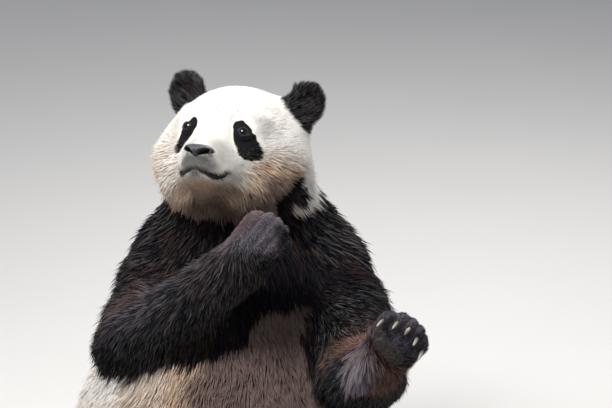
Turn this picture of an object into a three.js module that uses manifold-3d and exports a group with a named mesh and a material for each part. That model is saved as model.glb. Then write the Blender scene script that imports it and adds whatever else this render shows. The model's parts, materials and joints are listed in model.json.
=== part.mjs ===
// A giant panda sitting up and leaning back a little, its right forepaw closed before its throat
// and its left one held out, palm forward, beside its belly.  Millimetres, +Z up.  It faces -Y,
// its own left side is +X, and it sits on the plane z = 0.  Every surface is that of the coat.
import * as THREE from "three";
import { mergeVertices } from "three/addons/utils/BufferGeometryUtils.js";
import Module from "manifold-3d";

const wasm = await Module();
wasm.setup();

// ---- Driving dimensions ----------------------------------------------------------------------

const GAP = 0.3; // between solids that meet
const SIDES = { left: 1, right: -1 }; // the sign of x on each side of the body

// How far apart the grid lines lie that each part's facets follow, along x, y and z.
const even = (size) => [size, size, size];
const CELLS = {
  trunk: even(68),
  neck: even(56),
  tail: even(30),
  head: [
    (x) => (Math.abs(x) < 72 ? 18.5 : 31),
    (y) => (y < -75 ? 18.5 : 40),
    (z) => (z > -100 && z < 45 ? 18.5 : 31),
  ],
  ear: [18, 14, 18],
  nose: even(9.5),
  limb: even(49),
  forepaw: even(20),
  hind_foot: [23, (y) => (y < 80 ? 34 : 23), 24],
};

const HEAD = {
  centre: [-7, 60, 770], // the middle of the braincase
  yaw: -7.2, // degrees, turned to the panda's right
  pitch: -24.6, // muzzle up
  roll: -1.5,
};
const EYE = { at: [53, -103, 23], radius: 13 }; // in the head's frame, for the left eye
const NOSE = { at: [0, -176, -25], width: 54, height: 31, depth: 30 };
const EAR = { across: 43, up: 48, thick: 17 };
const EARS = {
  left: { at: [104, 40, 101], lean: 19, turn: 19 },
  right: { at: [-136, 49, 101], lean: -29, turn: -9 },
};

// The trunk from the seat to the withers: each mass is an ellipsoid.
const TRUNK = {
  rump: { centre: [0, 45, 166], radii: [284, 240, 176] },
  belly: { centre: [0, -20, 268], radii: [292, 234, 205] },
  waist: { centre: [0, 52, 400], radii: [228, 216, 185] },
  chest: { centre: [3, 78, 522], radii: [186, 166, 135] },
  withers: { centre: [0, 132, 585], radii: [142, 112, 100] },
};
const NECK = { base: [2, 108, 618, 138], top: [-8, 78, 722, 122] };
const TAIL = { root: [0, 252, 84, 44], middle: [0, 296, 36, 42], tip: [0, 330, 20, 32] };

// Joints are [x, y, z, radius of the limb there].
const ARMS = {
  right: {
    shoulder: [-134, 85, 559, 80],
    upper: 79, // the thickest radius between shoulder and elbow
    elbow: [-146, -138, 462, 58],
    wrist: [75, -160, 641, 56],
    point: [-225, -121, 406, 29], // the point of the elbow, out to its hair's tips
    fringe: { drops: [6, 57, 31], radius: 42 }, // long hair hanging under the forearm
    along: [0.61, 0.14, 0.78], // from wrist to fingers
    back: [0.12, -0.99, 0.08], // where the back of the hand faces
    curl: 96,
    thumb: -1,
  },
  left: {
    shoulder: [156, 84, 553, 90],
    upper: 88,
    elbow: [284, -118, 424, 76],
    wrist: [359, -284, 531, 50],
    point: [296, -96, 396, 60],
    fringe: { drops: [48, 52, 28], radius: 40 },
    along: [0.58, 0.24, 0.78],
    back: [-0.17, 0.97, -0.19],
    curl: 76,
    thumb: 1,
  },
};

const LEG = {
  hip: [142, -18, 140, 132], // for the left leg; the right one is its mirror image
  knee: [262, -236, 128, 104],
  ankle: [284, -432, 53, 58],
  along: [0.1, -0.16, 0.98], // from heel to toes
  back: [0, 0.98, 0.16], // where the top of the foot faces
};

const HAND = {
  palm: { centre: [0, 44, 0], radii: [51, 47, 34] },
  spread: 37, // half the width across the knuckles
  knuckle: 70, // from the wrist to the knuckles
  arch: 19, // how far the middle knuckle leads the outer ones
  joints: [25, 18], // lengths of the finger's two visible lengths
  radii: [18, 16, 13.5],
};
const FOOT = {
  palm: { centre: [0, 62, 4], radii: [50, 78, 38] },
  spread: 36,
  knuckle: 118,
  arch: 10,
  joints: [20, 14],
  radii: [19, 17, 14],
};
const DIGITS = 5;
const CLAW = { length: 30, radius: 5.6, bend: 50, sides: 5, steps: 3 };

// ---- Materials -------------------------------------------------------------------------------

const finish = (color, roughness) =>
  new THREE.MeshStandardMaterial({ color, roughness, metalness: 0 });
const WHITE_COAT = finish(0xe9e2d6, 0.85);
const BLACK_COAT = finish(0x17161a, 0.8);
const EYE_GLOSS = finish(0x14100d, 0.1);
const NOSE_LEATHER = finish(0x1c1d21, 0.45);
const CLAW_HORN = finish(0xb9ad98, 0.4);

// ---- Fields: signed distance in millimetres, negative inside ----------------------------------

/** A round cone between two joints [x, y, z, radius]. */
function bone(a, b) {
  const ax = b[0] - a[0];
  const ay = b[1] - a[1];
  const az = b[2] - a[2];
  const l2 = ax * ax + ay * ay + az * az;
  const rr = a[3] - b[3];
  const a2 = l2 - rr * rr;
  return (x, y, z) => {
    const px = x - a[0];
    const py = y - a[1];
    const pz = z - a[2];
    const t = px * ax + py * ay + pz * az;
    const u = t - l2;
    const qx = px * l2 - ax * t;
    const qy = py * l2 - ay * t;
    const qz = pz * l2 - az * t;
    const q2 = qx * qx + qy * qy + qz * qz;
    const t2 = t * t * l2;
    const u2 = u * u * l2;
    const k = Math.sign(rr) * rr * rr * q2;
    if (Math.sign(u) * a2 * u2 > k) return Math.sqrt(q2 + u2) / l2 - b[3];
    if (Math.sign(t) * a2 * t2 < k) return Math.sqrt(q2 + t2) / l2 - a[3];
    return (Math.sqrt((q2 * a2) / l2) + t * rr) / l2 - a[3];
  };
}

/** An ellipsoid along the axes, or turned by a rotation matrix. */
function ellipsoid(centre, radii, turn = new THREE.Matrix4()) {
  const [rx, ry, rz] = radii;
  const e = turn.clone().transpose().elements;
  return (x, y, z) => {
    const dx = x - centre[0];
    const dy = y - centre[1];
    const dz = z - centre[2];
    const qx = (e[0] * dx + e[4] * dy + e[8] * dz) / rx;
    const qy = (e[1] * dx + e[5] * dy + e[9] * dz) / ry;
    const qz = (e[2] * dx + e[6] * dy + e[10] * dz) / rz;
    const k0 = Math.sqrt(qx * qx + qy * qy + qz * qz);
    const k1 = Math.sqrt((qx / rx) ** 2 + (qy / ry) ** 2 + (qz / rz) ** 2);
    return k1 > 0 ? (k0 * (k0 - 1)) / k1 : -Math.min(rx, ry, rz);
  };
}

const ball = ([x, y, z, r]) => ellipsoid([x, y, z], [r, r, r]);

/** Joins fields, with a soft fillet about `blend` wide where they meet. */
function melt(blend, ...fields) {
  return (x, y, z) => {
    let d = Infinity;
    for (const field of fields) {
      const v = field(x, y, z);
      const h = Math.max(blend - Math.abs(d - v), 0) / blend;
      d = Math.min(d, v) - (Number.isFinite(h) ? (h * h * blend) / 4 : 0);
    }
    return d;
  };
}

/** Takes `tool` out of `body`, with a soft edge. */
function hollow(blend, body, tool) {
  return (x, y, z) => {
    const a = body(x, y, z);
    const b = -tool(x, y, z);
    const h = Math.max(blend - Math.abs(a - b), 0) / blend;
    return Math.max(a, b) + (h * h * blend) / 4;
  };
}

/** A chain of round cones through several joints. */
function chain(blend, joints) {
  return melt(blend, ...joints.slice(1).map((joint, i) => bone(joints[i], joint)));
}

/** A field given in a frame's own coordinates, read in the body's. */
function placed(frame, field) {
  const e = frame.clone().invert().elements;
  return (x, y, z) =>
    field(
      e[0] * x + e[4] * y + e[8] * z + e[12],
      e[1] * x + e[5] * y + e[9] * z + e[13],
      e[2] * x + e[6] * y + e[10] * z + e[14],
    );
}

// ---- Frames ----------------------------------------------------------------------------------

const degrees = THREE.MathUtils.degToRad;

const headFrame = new THREE.Matrix4()
  .makeRotationFromEuler(
    new THREE.Euler(degrees(HEAD.pitch), degrees(HEAD.roll), degrees(HEAD.yaw), "ZXY"),
  )
  .setPosition(...HEAD.centre);

/** A paw's frame: its origin is the wrist, +Y runs to the fingers and +Z out of the back. */
function pawFrame(wrist, along, back) {
  const y = new THREE.Vector3(...along).normalize();
  const x = y.clone().cross(new THREE.Vector3(...back)).normalize();
  const z = x.clone().cross(y);
  return new THREE.Matrix4().makeBasis(x, y, z).setPosition(wrist[0], wrist[1], wrist[2]);
}

const mirrored = ([x, ...rest], sign) => [x * sign, ...rest];
const between = (a, b, share) => a.map((v, i) => v + (b[i] - v) * share);

// ---- The head --------------------------------------------------------------------------------

/** An ear's frame within the head's: its origin is the disc's middle and -Y leaves its cup. */
function earFrame({ at, lean, turn }) {
  return new THREE.Matrix4()
    .makeRotationFromEuler(new THREE.Euler(0, degrees(lean), degrees(turn), "ZXY"))
    .setPosition(...at);
}

function earField(ear) {
  const [x, y, z] = ear.at;
  const turn = new THREE.Matrix4().extractRotation(earFrame(ear));
  const disc = ellipsoid(ear.at, [EAR.across, EAR.thick, EAR.up], turn);
  const root = ellipsoid([x - 24 * Math.sign(x), y + 2, z - 34], [34, 20, 30], turn);
  const front = new THREE.Vector3(0, -1, 0).transformDirection(turn);
  const cup = ellipsoid(
    [x + front.x * 17, y + front.y * 17, z + front.z * 17 + 3],
    [EAR.across * 0.62, 12, EAR.up * 0.62],
    turn,
  );
  return hollow(8, melt(16, disc, root), cup);
}

/** Braincase, cheeks, muzzle and jaw, in the head's frame. */
function headField() {
  const both = (make) => Object.values(SIDES).map(make);
  const skull = melt(
    46,
    ellipsoid([0, 12, 16], [126, 130, 108]),
    ...both((s) => ellipsoid([68 * s, -6, -38], [92, 100, 84])),
    ellipsoid([0, -52, -78], [84, 74, 48]),
  );
  const muzzle = melt(
    26,
    ellipsoid([0, -104, -42], [58, 60, 45]),
    ellipsoid([0, -142, -42], [36, 39, 29]),
    bone([0, -70, 14, 32], [0, -150, -19, 18]),
    ellipsoid([0, -120, -66], [38, 42, 22]),
  );
  const brows = both((s) => ellipsoid([52 * s, -88, 52], [34, 26, 18]));
  let face = melt(30, skull, muzzle);
  face = melt(24, face, ...brows);
  for (const s of Object.values(SIDES)) {
    face = hollow(16, face, ellipsoid([EYE.at[0] * s, EYE.at[1] - 16, EYE.at[2] - 2], [17, 16, 13]));
  }
  return melt(14, face, ...Object.values(EARS).map(earField));
}

// ---- The trunk -------------------------------------------------------------------------------

function trunkField() {
  const masses = Object.values(TRUNK).map(({ centre, radii }) => ellipsoid(centre, radii));
  const shoulders = Object.values(ARMS).map(({ shoulder, elbow, upper }) => {
    const end = between(shoulder, elbow, 0.22);
    return bone(shoulder, [end[0], end[1], end[2], upper]);
  });
  const hips = Object.values(SIDES).map((s) => {
    const hip = mirrored(LEG.hip, s);
    return bone(hip, between(hip, mirrored(LEG.knee, s), 0.28));
  });
  const tail = chain(20, [TAIL.root, TAIL.middle, TAIL.tip]);
  const body = melt(70, ...masses, bone(NECK.base, NECK.top));
  return melt(30, melt(52, body, ...shoulders, ...hips), tail);
}

const torso = melt(40, trunkField(), placed(headFrame, headField()));

// ---- Paws ------------------------------------------------------------------------------------

/** Where each digit's knuckle, middle joint and tip lie in the paw's frame. */
function digits(shape, curl) {
  return Array.from({ length: DIGITS }, (_, i) => {
    const across = (2 * i) / (DIGITS - 1) - 1;
    const knuckle = [across * shape.spread, shape.knuckle - shape.arch * across ** 2, 2];
    const joints = [knuckle];
    let angle = degrees(curl * 0.45);
    for (const length of shape.joints) {
      const last = joints.at(-1);
      joints.push([
        last[0] + across * 2.5,
        last[1] + length * Math.cos(angle),
        last[2] - length * Math.sin(angle),
      ]);
      angle += degrees(curl * 0.9);
    }
    return { joints: joints.map((p, n) => [...p, shape.radii[n]]) };
  });
}

function pawField(shape, curl, thumb) {
  const { centre, radii } = shape.palm;
  const fingers = digits(shape, curl).map(({ joints }) => chain(5, joints));
  const pads = [
    ellipsoid([0, shape.knuckle - 20, -22], [shape.spread + 2, 17, 15]),
    ellipsoid([thumb * 30, shape.knuckle - 56, -24], [16, 20, 14]),
  ];
  return melt(10, melt(16, ellipsoid(centre, radii), ...pads), ...fingers);
}

/** A curved tapering claw in the paw's frame, from inside the digit's tip out past it. */
function clawGeometry({ joints }) {
  const [mx, my, mz] = joints.at(-2);
  const [x, y, z] = joints.at(-1);
  const side = new THREE.Vector3(1, 0, 0);
  const heading = new THREE.Vector3(x - mx, y - my, z - mz).normalize();
  const start = new THREE.Vector3(x, y, z + 2).addScaledVector(heading, 5);
  const turn = degrees(-CLAW.bend / CLAW.steps);
  const rings = [];
  const at = start.clone();
  for (let step = 0; step < CLAW.steps; step++) {
    const share = step / CLAW.steps;
    const up = side.clone().cross(heading).normalize();
    const radius = CLAW.radius * Math.sqrt(1 - share * share * 0.9);
    rings.push(
      Array.from({ length: CLAW.sides }, (_, n) => {
        const turned = (2 * Math.PI * n) / CLAW.sides;
        return at
          .clone()
          .addScaledVector(side, radius * 0.72 * Math.cos(turned))
          .addScaledVector(up, radius * Math.sin(turned));
      }),
    );
    at.addScaledVector(heading, CLAW.length / CLAW.steps);
    heading.applyAxisAngle(side, turn);
  }
  return closedTube(rings, start, at);
}

/** Rings of points closed by a point at each end. */
function closedTube(rings, first, last) {
  const points = [first, ...rings.flat(), last];
  const sides = rings[0].length;
  const index = [];
  const of = (ring, n) => 1 + ring * sides + (n % sides);
  for (let n = 0; n < sides; n++) {
    index.push(0, of(0, n), of(0, n + 1));
    for (let ring = 1; ring < rings.length; ring++) {
      index.push(of(ring - 1, n), of(ring, n + 1), of(ring - 1, n + 1));
      index.push(of(ring - 1, n), of(ring, n), of(ring, n + 1));
    }
    index.push(points.length - 1, of(rings.length - 1, n + 1), of(rings.length - 1, n));
  }
  const geometry = new THREE.BufferGeometry().setFromPoints(points);
  return geometry.setIndex(index);
}

// ---- Surfaces --------------------------------------------------------------------------------

const RIM = 15; // the distance taken just outside a part's box

/** Grid lines from `low` to `high`; `cell` is their spacing, or gives it at each place. */
function gridLines(low, high, cell) {
  const spacing = typeof cell === "number" ? () => cell : cell;
  const lines = [low];
  while (lines.at(-1) < high) lines.push(lines.at(-1) + spacing(lines.at(-1)));
  return lines;
}

/**
 * The field's surface inside a box, closed where it meets the box's sides: one vertex in each
 * cell that the surface crosses, moved onto it, and one quad across each grid edge it crosses.
 */
function surface(field, box, cells) {
  const [low, high] = [box.min.toArray(), box.max.toArray()];
  const grid = low.map((v, axis) => gridLines(v, high[axis], cells[axis]));
  const [nx, ny, nz] = grid.map((lines) => lines.length);
  const at = (i, j, k) => [grid[0][i], grid[1][j], grid[2][k]];
  const id = (i, j, k) => i + nx * (j + ny * k);
  const values = new Float64Array(nx * ny * nz);
  for (let k = 0; k < nz; k++) {
    for (let j = 0; j < ny; j++) {
      for (let i = 0; i < nx; i++) {
        const rim = i === 0 || j === 0 || k === 0 || i === nx - 1 || j === ny - 1 || k === nz - 1;
        values[id(i, j, k)] = rim ? RIM : field(...at(i, j, k)) || 1e-6;
      }
    }
  }
  const positions = [];
  const vertexOf = new Map();
  const corners = [0, 1, 2, 3, 4, 5, 6, 7].map((n) => [n & 1, (n >> 1) & 1, n >> 2]);
  for (let k = 0; k < nz - 1; k++) {
    for (let j = 0; j < ny - 1; j++) {
      for (let i = 0; i < nx - 1; i++) {
        const found = crossing(corners, ([a, b, c]) => values[id(i + a, j + b, k + c)]);
        if (!found) continue;
        const corner = at(i, j, k);
        const span = at(i + 1, j + 1, k + 1).map((v, n) => v - corner[n]);
        const point = found.map((v, n) => corner[n] + v * span[n]);
        const inside = i > 0 && j > 0 && k > 0 && i < nx - 2 && j < ny - 2 && k < nz - 2;
        if (inside) settle(field, point, corner, span);
        vertexOf.set(id(i, j, k), positions.length / 3);
        positions.push(...point);
      }
    }
  }
  const index = [];
  const steps = [
    [1, 0, 0],
    [0, 1, 0],
    [0, 0, 1],
  ];
  for (let k = 0; k < nz - 1; k++) {
    for (let j = 0; j < ny - 1; j++) {
      for (let i = 0; i < nx - 1; i++) {
        const here = values[id(i, j, k)];
        steps.forEach((step, axis) => {
          const there = values[id(i + step[0], j + step[1], k + step[2])];
          if (here < 0 === there < 0) return;
          const [u, v] = [steps[(axis + 1) % 3], steps[(axis + 2) % 3]];
          const quad = [
            [0, 0],
            [1, 0],
            [1, 1],
            [0, 1],
          ].map(([a, b]) =>
            vertexOf.get(id(i - a * u[0] - b * v[0], j - a * u[1] - b * v[1], k - a * u[2] - b * v[2])),
          );
          if (here >= 0) quad.reverse();
          index.push(...split(quad, positions));
        });
      }
    }
  }
  return new THREE.BufferGeometry()
    .setAttribute("position", new THREE.Float32BufferAttribute(positions, 3))
    .setIndex(index);
}

/** The mean of the points where a cell's edges cross the surface, in the cell's own units. */
function crossing(corners, valueAt) {
  const sum = [0, 0, 0];
  let count = 0;
  for (let a = 0; a < 8; a++) {
    for (const bit of [1, 2, 4]) {
      const b = a | bit;
      if (a === b) continue;
      const va = valueAt(corners[a]);
      const vb = valueAt(corners[b]);
      if (va < 0 === vb < 0) continue;
      const share = va / (va - vb);
      for (let n = 0; n < 3; n++) {
        sum[n] += corners[a][n] + (corners[b][n] - corners[a][n]) * share;
      }
      count++;
    }
  }
  return count && sum.map((v) => v / count);
}

/** Moves a point onto the surface along the field's slope, keeping it in its cell. */
function settle(field, point, corner, span) {
  const step = 0.5;
  for (let round = 0; round < 3; round++) {
    const value = field(...point);
    const slope = [0, 1, 2].map((n) => {
      const moved = [...point];
      moved[n] += step;
      return (field(...moved) - value) / step;
    });
    const steepness = slope.reduce((sum, v) => sum + v * v, 0);
    if (steepness < 0.05) return;
    for (let n = 0; n < 3; n++) {
      const moved = point[n] - (value * slope[n]) / steepness;
      const margin = span[n] * 0.04;
      point[n] = THREE.MathUtils.clamp(moved, corner[n] + margin, corner[n] + span[n] - margin);
    }
  }
}

/** A quad as two triangles, cut along its shorter diagonal. */
function split([a, b, c, d], positions) {
  const length = (p, q) =>
    Math.hypot(...[0, 1, 2].map((n) => positions[3 * p + n] - positions[3 * q + n]));
  return length(a, c) < length(b, d) ? [a, b, c, a, c, d] : [a, b, d, b, c, d];
}

// ---- Solids: joining and cutting ----------------------------------------------------------------

/** The geometry with its points shared between its triangles, and nothing else on them. */
function joined(geometry) {
  const bare = geometry.clone();
  bare.deleteAttribute("normal");
  bare.deleteAttribute("uv");
  return mergeVertices(bare, 1e-3);
}

/** A closed geometry as a solid. */
function solid(geometry) {
  const merged = joined(geometry);
  return new wasm.Manifold(
    new wasm.Mesh({
      numProp: 3,
      vertProperties: merged.attributes.position.array,
      triVerts: new Uint32Array(merged.index.array),
    }),
  );
}

/** A solid as a geometry. */
function geometryOf(made) {
  const { vertProperties, triVerts } = made.getMesh();
  return new THREE.BufferGeometry()
    .setAttribute("position", new THREE.BufferAttribute(new Float32Array(vertProperties), 3))
    .setIndex(new THREE.BufferAttribute(new Uint32Array(triVerts), 1));
}

/** The same geometry with its surface moved out by the gap. */
function grown(geometry) {
  const made = joined(geometry);
  made.computeVertexNormals();
  const { position, normal } = made.attributes;
  for (let n = 0; n < position.count; n++) {
    position.setXYZ(
      n,
      position.getX(n) + normal.getX(n) * GAP * 1.3,
      position.getY(n) + normal.getY(n) * GAP * 1.3,
      position.getZ(n) + normal.getZ(n) * GAP * 1.3,
    );
  }
  return made;
}

const FAR = 4000;
const underFloor = solid(new THREE.BoxGeometry(FAR, FAR, FAR).translate(0, 0, -FAR / 2));

/** A thin round cut across a limb. */
function saw(at, along, radius) {
  const disc = new THREE.CylinderGeometry(radius, radius, GAP, 28);
  const turn = new THREE.Quaternion().setFromUnitVectors(
    new THREE.Vector3(0, 1, 0),
    new THREE.Vector3(...along).normalize(),
  );
  return disc.applyQuaternion(turn).translate(at[0], at[1], at[2]);
}

/** The body of `made` that holds the point. */
function holding(made, point) {
  const probe = solid(new THREE.SphereGeometry(2, 8, 6).translate(...point));
  return made.decompose().find((body) => !body.intersect(probe).isEmpty());
}

/** Whether every edge of a geometry lies between just two of its triangles. */
function isSound(geometry) {
  const index = joined(geometry).index.array;
  const sides = new Map();
  for (let n = 0; n < index.length; n++) {
    const [a, b] = [index[n], index[n % 3 === 2 ? n - 2 : n + 1]];
    const edge = Math.min(a, b) * index.length + Math.max(a, b);
    sides.set(edge, (sides.get(edge) ?? 0) + 1);
  }
  return [...sides.values()].every((count) => count === 2);
}

/**
 * One part: the field's surface in a box about `at`, cut by the saws and by its neighbours.
 * `frame` is the frame the part is made in; everything else is given in the body's frame.  The
 * grid is moved a little until no two stretches of the surface touch along an edge.
 */
function part({ field, frame = new THREE.Matrix4(), at, half, cells, saws = [], keepOff = [] }) {
  const centre = new THREE.Vector3(...at).applyMatrix4(frame.clone().invert());
  const reach = new THREE.Vector3(...half);
  const local = placed(frame.clone().invert(), field);
  for (let nudge = 0; nudge < 12; nudge += 1.7) {
    const low = centre.clone().sub(reach).subScalar(nudge);
    const box = new THREE.Box3(low, centre.clone().add(reach));
    let made = solid(surface(local, box, cells).applyMatrix4(frame)).subtract(underFloor);
    for (const cut of saws) made = made.subtract(solid(cut));
    for (const other of keepOff) made = made.subtract(solid(other)).subtract(solid(grown(other)));
    const geometry = geometryOf(holding(made, at));
    if (isSound(geometry)) return geometry;
  }
  throw new Error("no sound surface about " + at);
}

// ---- Building the scene graph ------------------------------------------------------------------

const panda = new THREE.Group();

/** Adds a geometry, given in the body's frame, as a named mesh of a group. */
function add(name, geometry, material, group = panda) {
  group.updateWorldMatrix(true, false);
  const inverse = group.matrixWorld.clone().invert();
  const mesh = new THREE.Mesh(geometry.clone().applyMatrix4(inverse), material.clone());
  mesh.name = name;
  group.add(mesh);
  return geometry;
}

function frameGroup(frame, parent = panda) {
  const group = new THREE.Group();
  frame.decompose(group.position, group.quaternion, group.scale);
  parent.add(group);
  return group;
}

const inHead = (point) => new THREE.Vector3(...point).applyMatrix4(headFrame).toArray();
const headWay = (way) => new THREE.Vector3(...way).transformDirection(headFrame).toArray();

const headGroup = frameGroup(headFrame);
const neckMiddle = between(NECK.base, NECK.top, 0.5);
const saws = {
  nape: saw(inHead([0, 66, -62]), headWay([0, 0.72, -0.7]), 190),
  collar: saw([0, 100, 640], [-0.02, -0.3, 1], 300),
  tail: saw([0, 262, 70], [0, 0.8, -0.6], 70),
};
for (const side of Object.keys(SIDES)) {
  const way = new THREE.Vector3(...EARS[side].at).sub(new THREE.Vector3(0, 12, 16)).normalize();
  const base = [way.x * 127, 12 + way.y * 127, 16 + way.z * 127];
  saws["ear_" + side] = saw(inHead(base), headWay(way.toArray()), 66);
}

/** The eyeballs, nose and claws are small solids of their own. */
function eyeball(sign) {
  const [x, y, z] = EYE.at;
  return new THREE.SphereGeometry(EYE.radius, 9, 7)
    .translate(x * sign, y, z)
    .applyMatrix4(headFrame);
}

function noseGeometry() {
  const [x, y, z] = NOSE.at;
  const half = NOSE.width / 2;
  const pad = melt(
    8,
    ellipsoid([x, y, z + 4], [half, NOSE.depth / 2, NOSE.height * 0.34]),
    ellipsoid([x, y + 3, z - 6], [half * 0.55, NOSE.depth * 0.42, NOSE.height * 0.4]),
  );
  const open = Object.values(SIDES).reduce(
    (field, s) => hollow(3, field, ellipsoid([x + 13 * s, y - 14, z - 1], [7.5, 7, 4.4])),
    pad,
  );
  return part({
    field: placed(headFrame, open),
    frame: headFrame,
    at: inHead(NOSE.at),
    half: [half + 6, NOSE.depth, NOSE.height],
    cells: CELLS.nose,
  });
}

const nose = add("nose", noseGeometry(), NOSE_LEATHER, headGroup);
const eyes = Object.entries(SIDES).map(([side, sign]) =>
  add("eye_" + side, eyeball(sign), EYE_GLOSS, headGroup),
);
const headCuts = [saws.nape, saws.ear_left, saws.ear_right];
const head = add(
  "head",
  part({
    field: torso,
    frame: headFrame,
    at: HEAD.centre,
    half: [215, 235, 200],
    cells: CELLS.head,
    saws: headCuts,
    keepOff: [nose, ...eyes],
  }),
  WHITE_COAT,
  headGroup,
);
for (const side of Object.keys(SIDES)) {
  const frame = headFrame.clone().multiply(earFrame(EARS[side]));
  add(
    "ear_" + side,
    part({
      field: torso,
      frame,
      at: new THREE.Vector3(0, EAR.thick / 2, 0).applyMatrix4(frame).toArray(),
      half: [68, 42, 68],
      cells: CELLS.ear,
      saws: [saws["ear_" + side]],
    }),
    BLACK_COAT,
    headGroup,
  );
}
const neck = add(
  "neck",
  part({
    field: torso,
    at: neckMiddle.slice(0, 3),
    half: [210, 230, 160],
    cells: CELLS.neck,
    saws: [saws.nape, saws.collar],
  }),
  WHITE_COAT,
);
const trunk = add(
  "trunk",
  part({
    field: torso,
    at: [0, 30, 330],
    half: [330, 330, 380],
    cells: CELLS.trunk,
    saws: [saws.collar, saws.tail],
  }),
  WHITE_COAT,
);
add(
  "tail",
  part({
    field: torso,
    at: TAIL.middle.slice(0, 3),
    half: [70, 80, 80],
    cells: CELLS.tail,
    saws: [saws.tail],
  }),
  WHITE_COAT,
);

/** A limb's named lengths, each cut from one field by saws at its joints. */
function addLimb({ names, joints, field, frame, shape, curl, cuts, side }) {
  const body = [trunk, neck, head];
  const [root, middle, tip] = names.map((name) => name + "_" + side);
  const limb = { field, saws: cuts, keepOff: body };
  const upperAt = between(joints[0], joints[1], 0.85).slice(0, 3);
  const lowerAt = between(joints[1], joints[2], 0.5).slice(0, 3);
  const pawAt = new THREE.Vector3(...shape.palm.centre).applyMatrix4(frame).toArray();
  const half = [230, 260, 240];
  add(root, part({ ...limb, at: upperAt, half, cells: CELLS.limb }), BLACK_COAT);
  add(middle, part({ ...limb, at: lowerAt, half, cells: CELLS.limb }), BLACK_COAT);
  const group = frameGroup(frame);
  const paw = add(
    tip,
    part({ ...limb, frame, at: pawAt, half: [95, 130, 90], cells: CELLS[names[2]] }),
    BLACK_COAT,
    group,
  );
  digits(shape, curl).forEach((digit, n) => {
    const claw = solid(clawGeometry(digit).applyMatrix4(frame)).subtract(solid(grown(paw)));
    const outer = claw.decompose().sort((a, b) => b.volume() - a.volume())[0];
    add(tip + "_claw_" + (n + 1), geometryOf(outer), CLAW_HORN, group);
  });
}

for (const side of Object.keys(SIDES)) {
  const { shoulder, elbow, wrist, point, fringe, along, back, curl, thumb } = ARMS[side];
  const upperRadius = ARMS[side].upper;
  const frame = pawFrame(wrist, along, back);
  const start = between(shoulder, elbow, 0.1);
  const thick = between(shoulder, elbow, 0.45);
  const hang = (joint, n) => [joint[0], joint[1], joint[2] - fringe.drops[n], fringe.radius];
  const arm = melt(
    30,
    chain(20, [
      [start[0], start[1], start[2], 62],
      [thick[0], thick[1], thick[2], upperRadius],
      elbow,
      wrist,
    ]),
    bone(elbow, point),
    chain(20, [hang(elbow, 0), hang(between(elbow, wrist, 0.55), 1), hang(wrist, 2)]),
  );
  const field = melt(22, arm, placed(frame, pawField(HAND, curl, thumb)));
  const elbowCut = between(elbow, wrist, 0.04).slice(0, 3);
  const wristCut = new THREE.Vector3(0, 14, 0).applyMatrix4(frame).toArray();
  const fold = new THREE.Vector3(...elbow.slice(0, 3));
  const upper = fold.clone().sub(new THREE.Vector3(...shoulder.slice(0, 3))).normalize();
  const lower = new THREE.Vector3(...wrist.slice(0, 3)).sub(fold).normalize();
  addLimb({
    names: ["upper_arm", "forearm", "forepaw"],
    joints: [shoulder, elbow, wrist],
    field,
    frame,
    shape: HAND,
    curl,
    cuts: [
      saw(elbowCut, upper.add(lower).toArray(), 170),
      saw(wristCut, along, 145),
    ],
    side,
  });
}

for (const [side, sign] of Object.entries(SIDES)) {
  const [hip, knee, ankle] = [LEG.hip, LEG.knee, LEG.ankle].map((joint) => mirrored(joint, sign));
  const along = mirrored(LEG.along, sign);
  const frame = pawFrame(ankle, along, LEG.back);
  const start = between(hip, knee, 0.12);
  const thick = between(hip, knee, 0.5);
  const leg = chain(24, [
    [start[0], start[1], start[2], 96],
    [thick[0], thick[1], thick[2], 122],
    knee,
    ankle,
  ]);
  const field = melt(26, leg, placed(frame, pawField(FOOT, 24, sign)));
  const kneeCut = between(knee, ankle, 0.05).slice(0, 3);
  const ankleCut = between(knee, ankle, 0.72).slice(0, 3);
  const thigh = knee.slice(0, 3).map((v, i) => v - hip[i]);
  const shank = ankle.slice(0, 3).map((v, i) => v - knee[i]);
  const fold = new THREE.Vector3(...thigh).normalize().add(new THREE.Vector3(...shank).normalize());
  addLimb({
    names: ["thigh", "shank", "hind_foot"],
    joints: [hip, knee, ankle],
    field,
    frame,
    shape: FOOT,
    curl: 24,
    cuts: [saw(kneeCut, fold.toArray(), 190), saw(ankleCut, shank, 130)],
    side,
  });
}

// The origin is the middle of the base of the whole model's box.
const bounds = new THREE.Box3().setFromObject(panda, true);
const base = bounds.getCenter(new THREE.Vector3()).setZ(bounds.min.z);
for (const child of panda.children) child.position.sub(base);

export default panda;
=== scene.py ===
"""A giant panda sitting upright with both forepaws raised: its skin, coat, eyes, nose and claws.

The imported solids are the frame. They reach out to the tips of the coat, so the skin is fused from the
solids of flesh and drawn in by the coat's depth, and tufts of solid mesh grow from it back out to them.
Lengths are in metres unless a name or a docstring says millimetres.
"""

from __future__ import annotations

import json
import logging
import math
from dataclasses import dataclass, field
from enum import Enum
from typing import Any

import bpy
import numpy as np
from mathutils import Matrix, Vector
from mathutils.bvhtree import BVHTree
from mathutils.kdtree import KDTree

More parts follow.
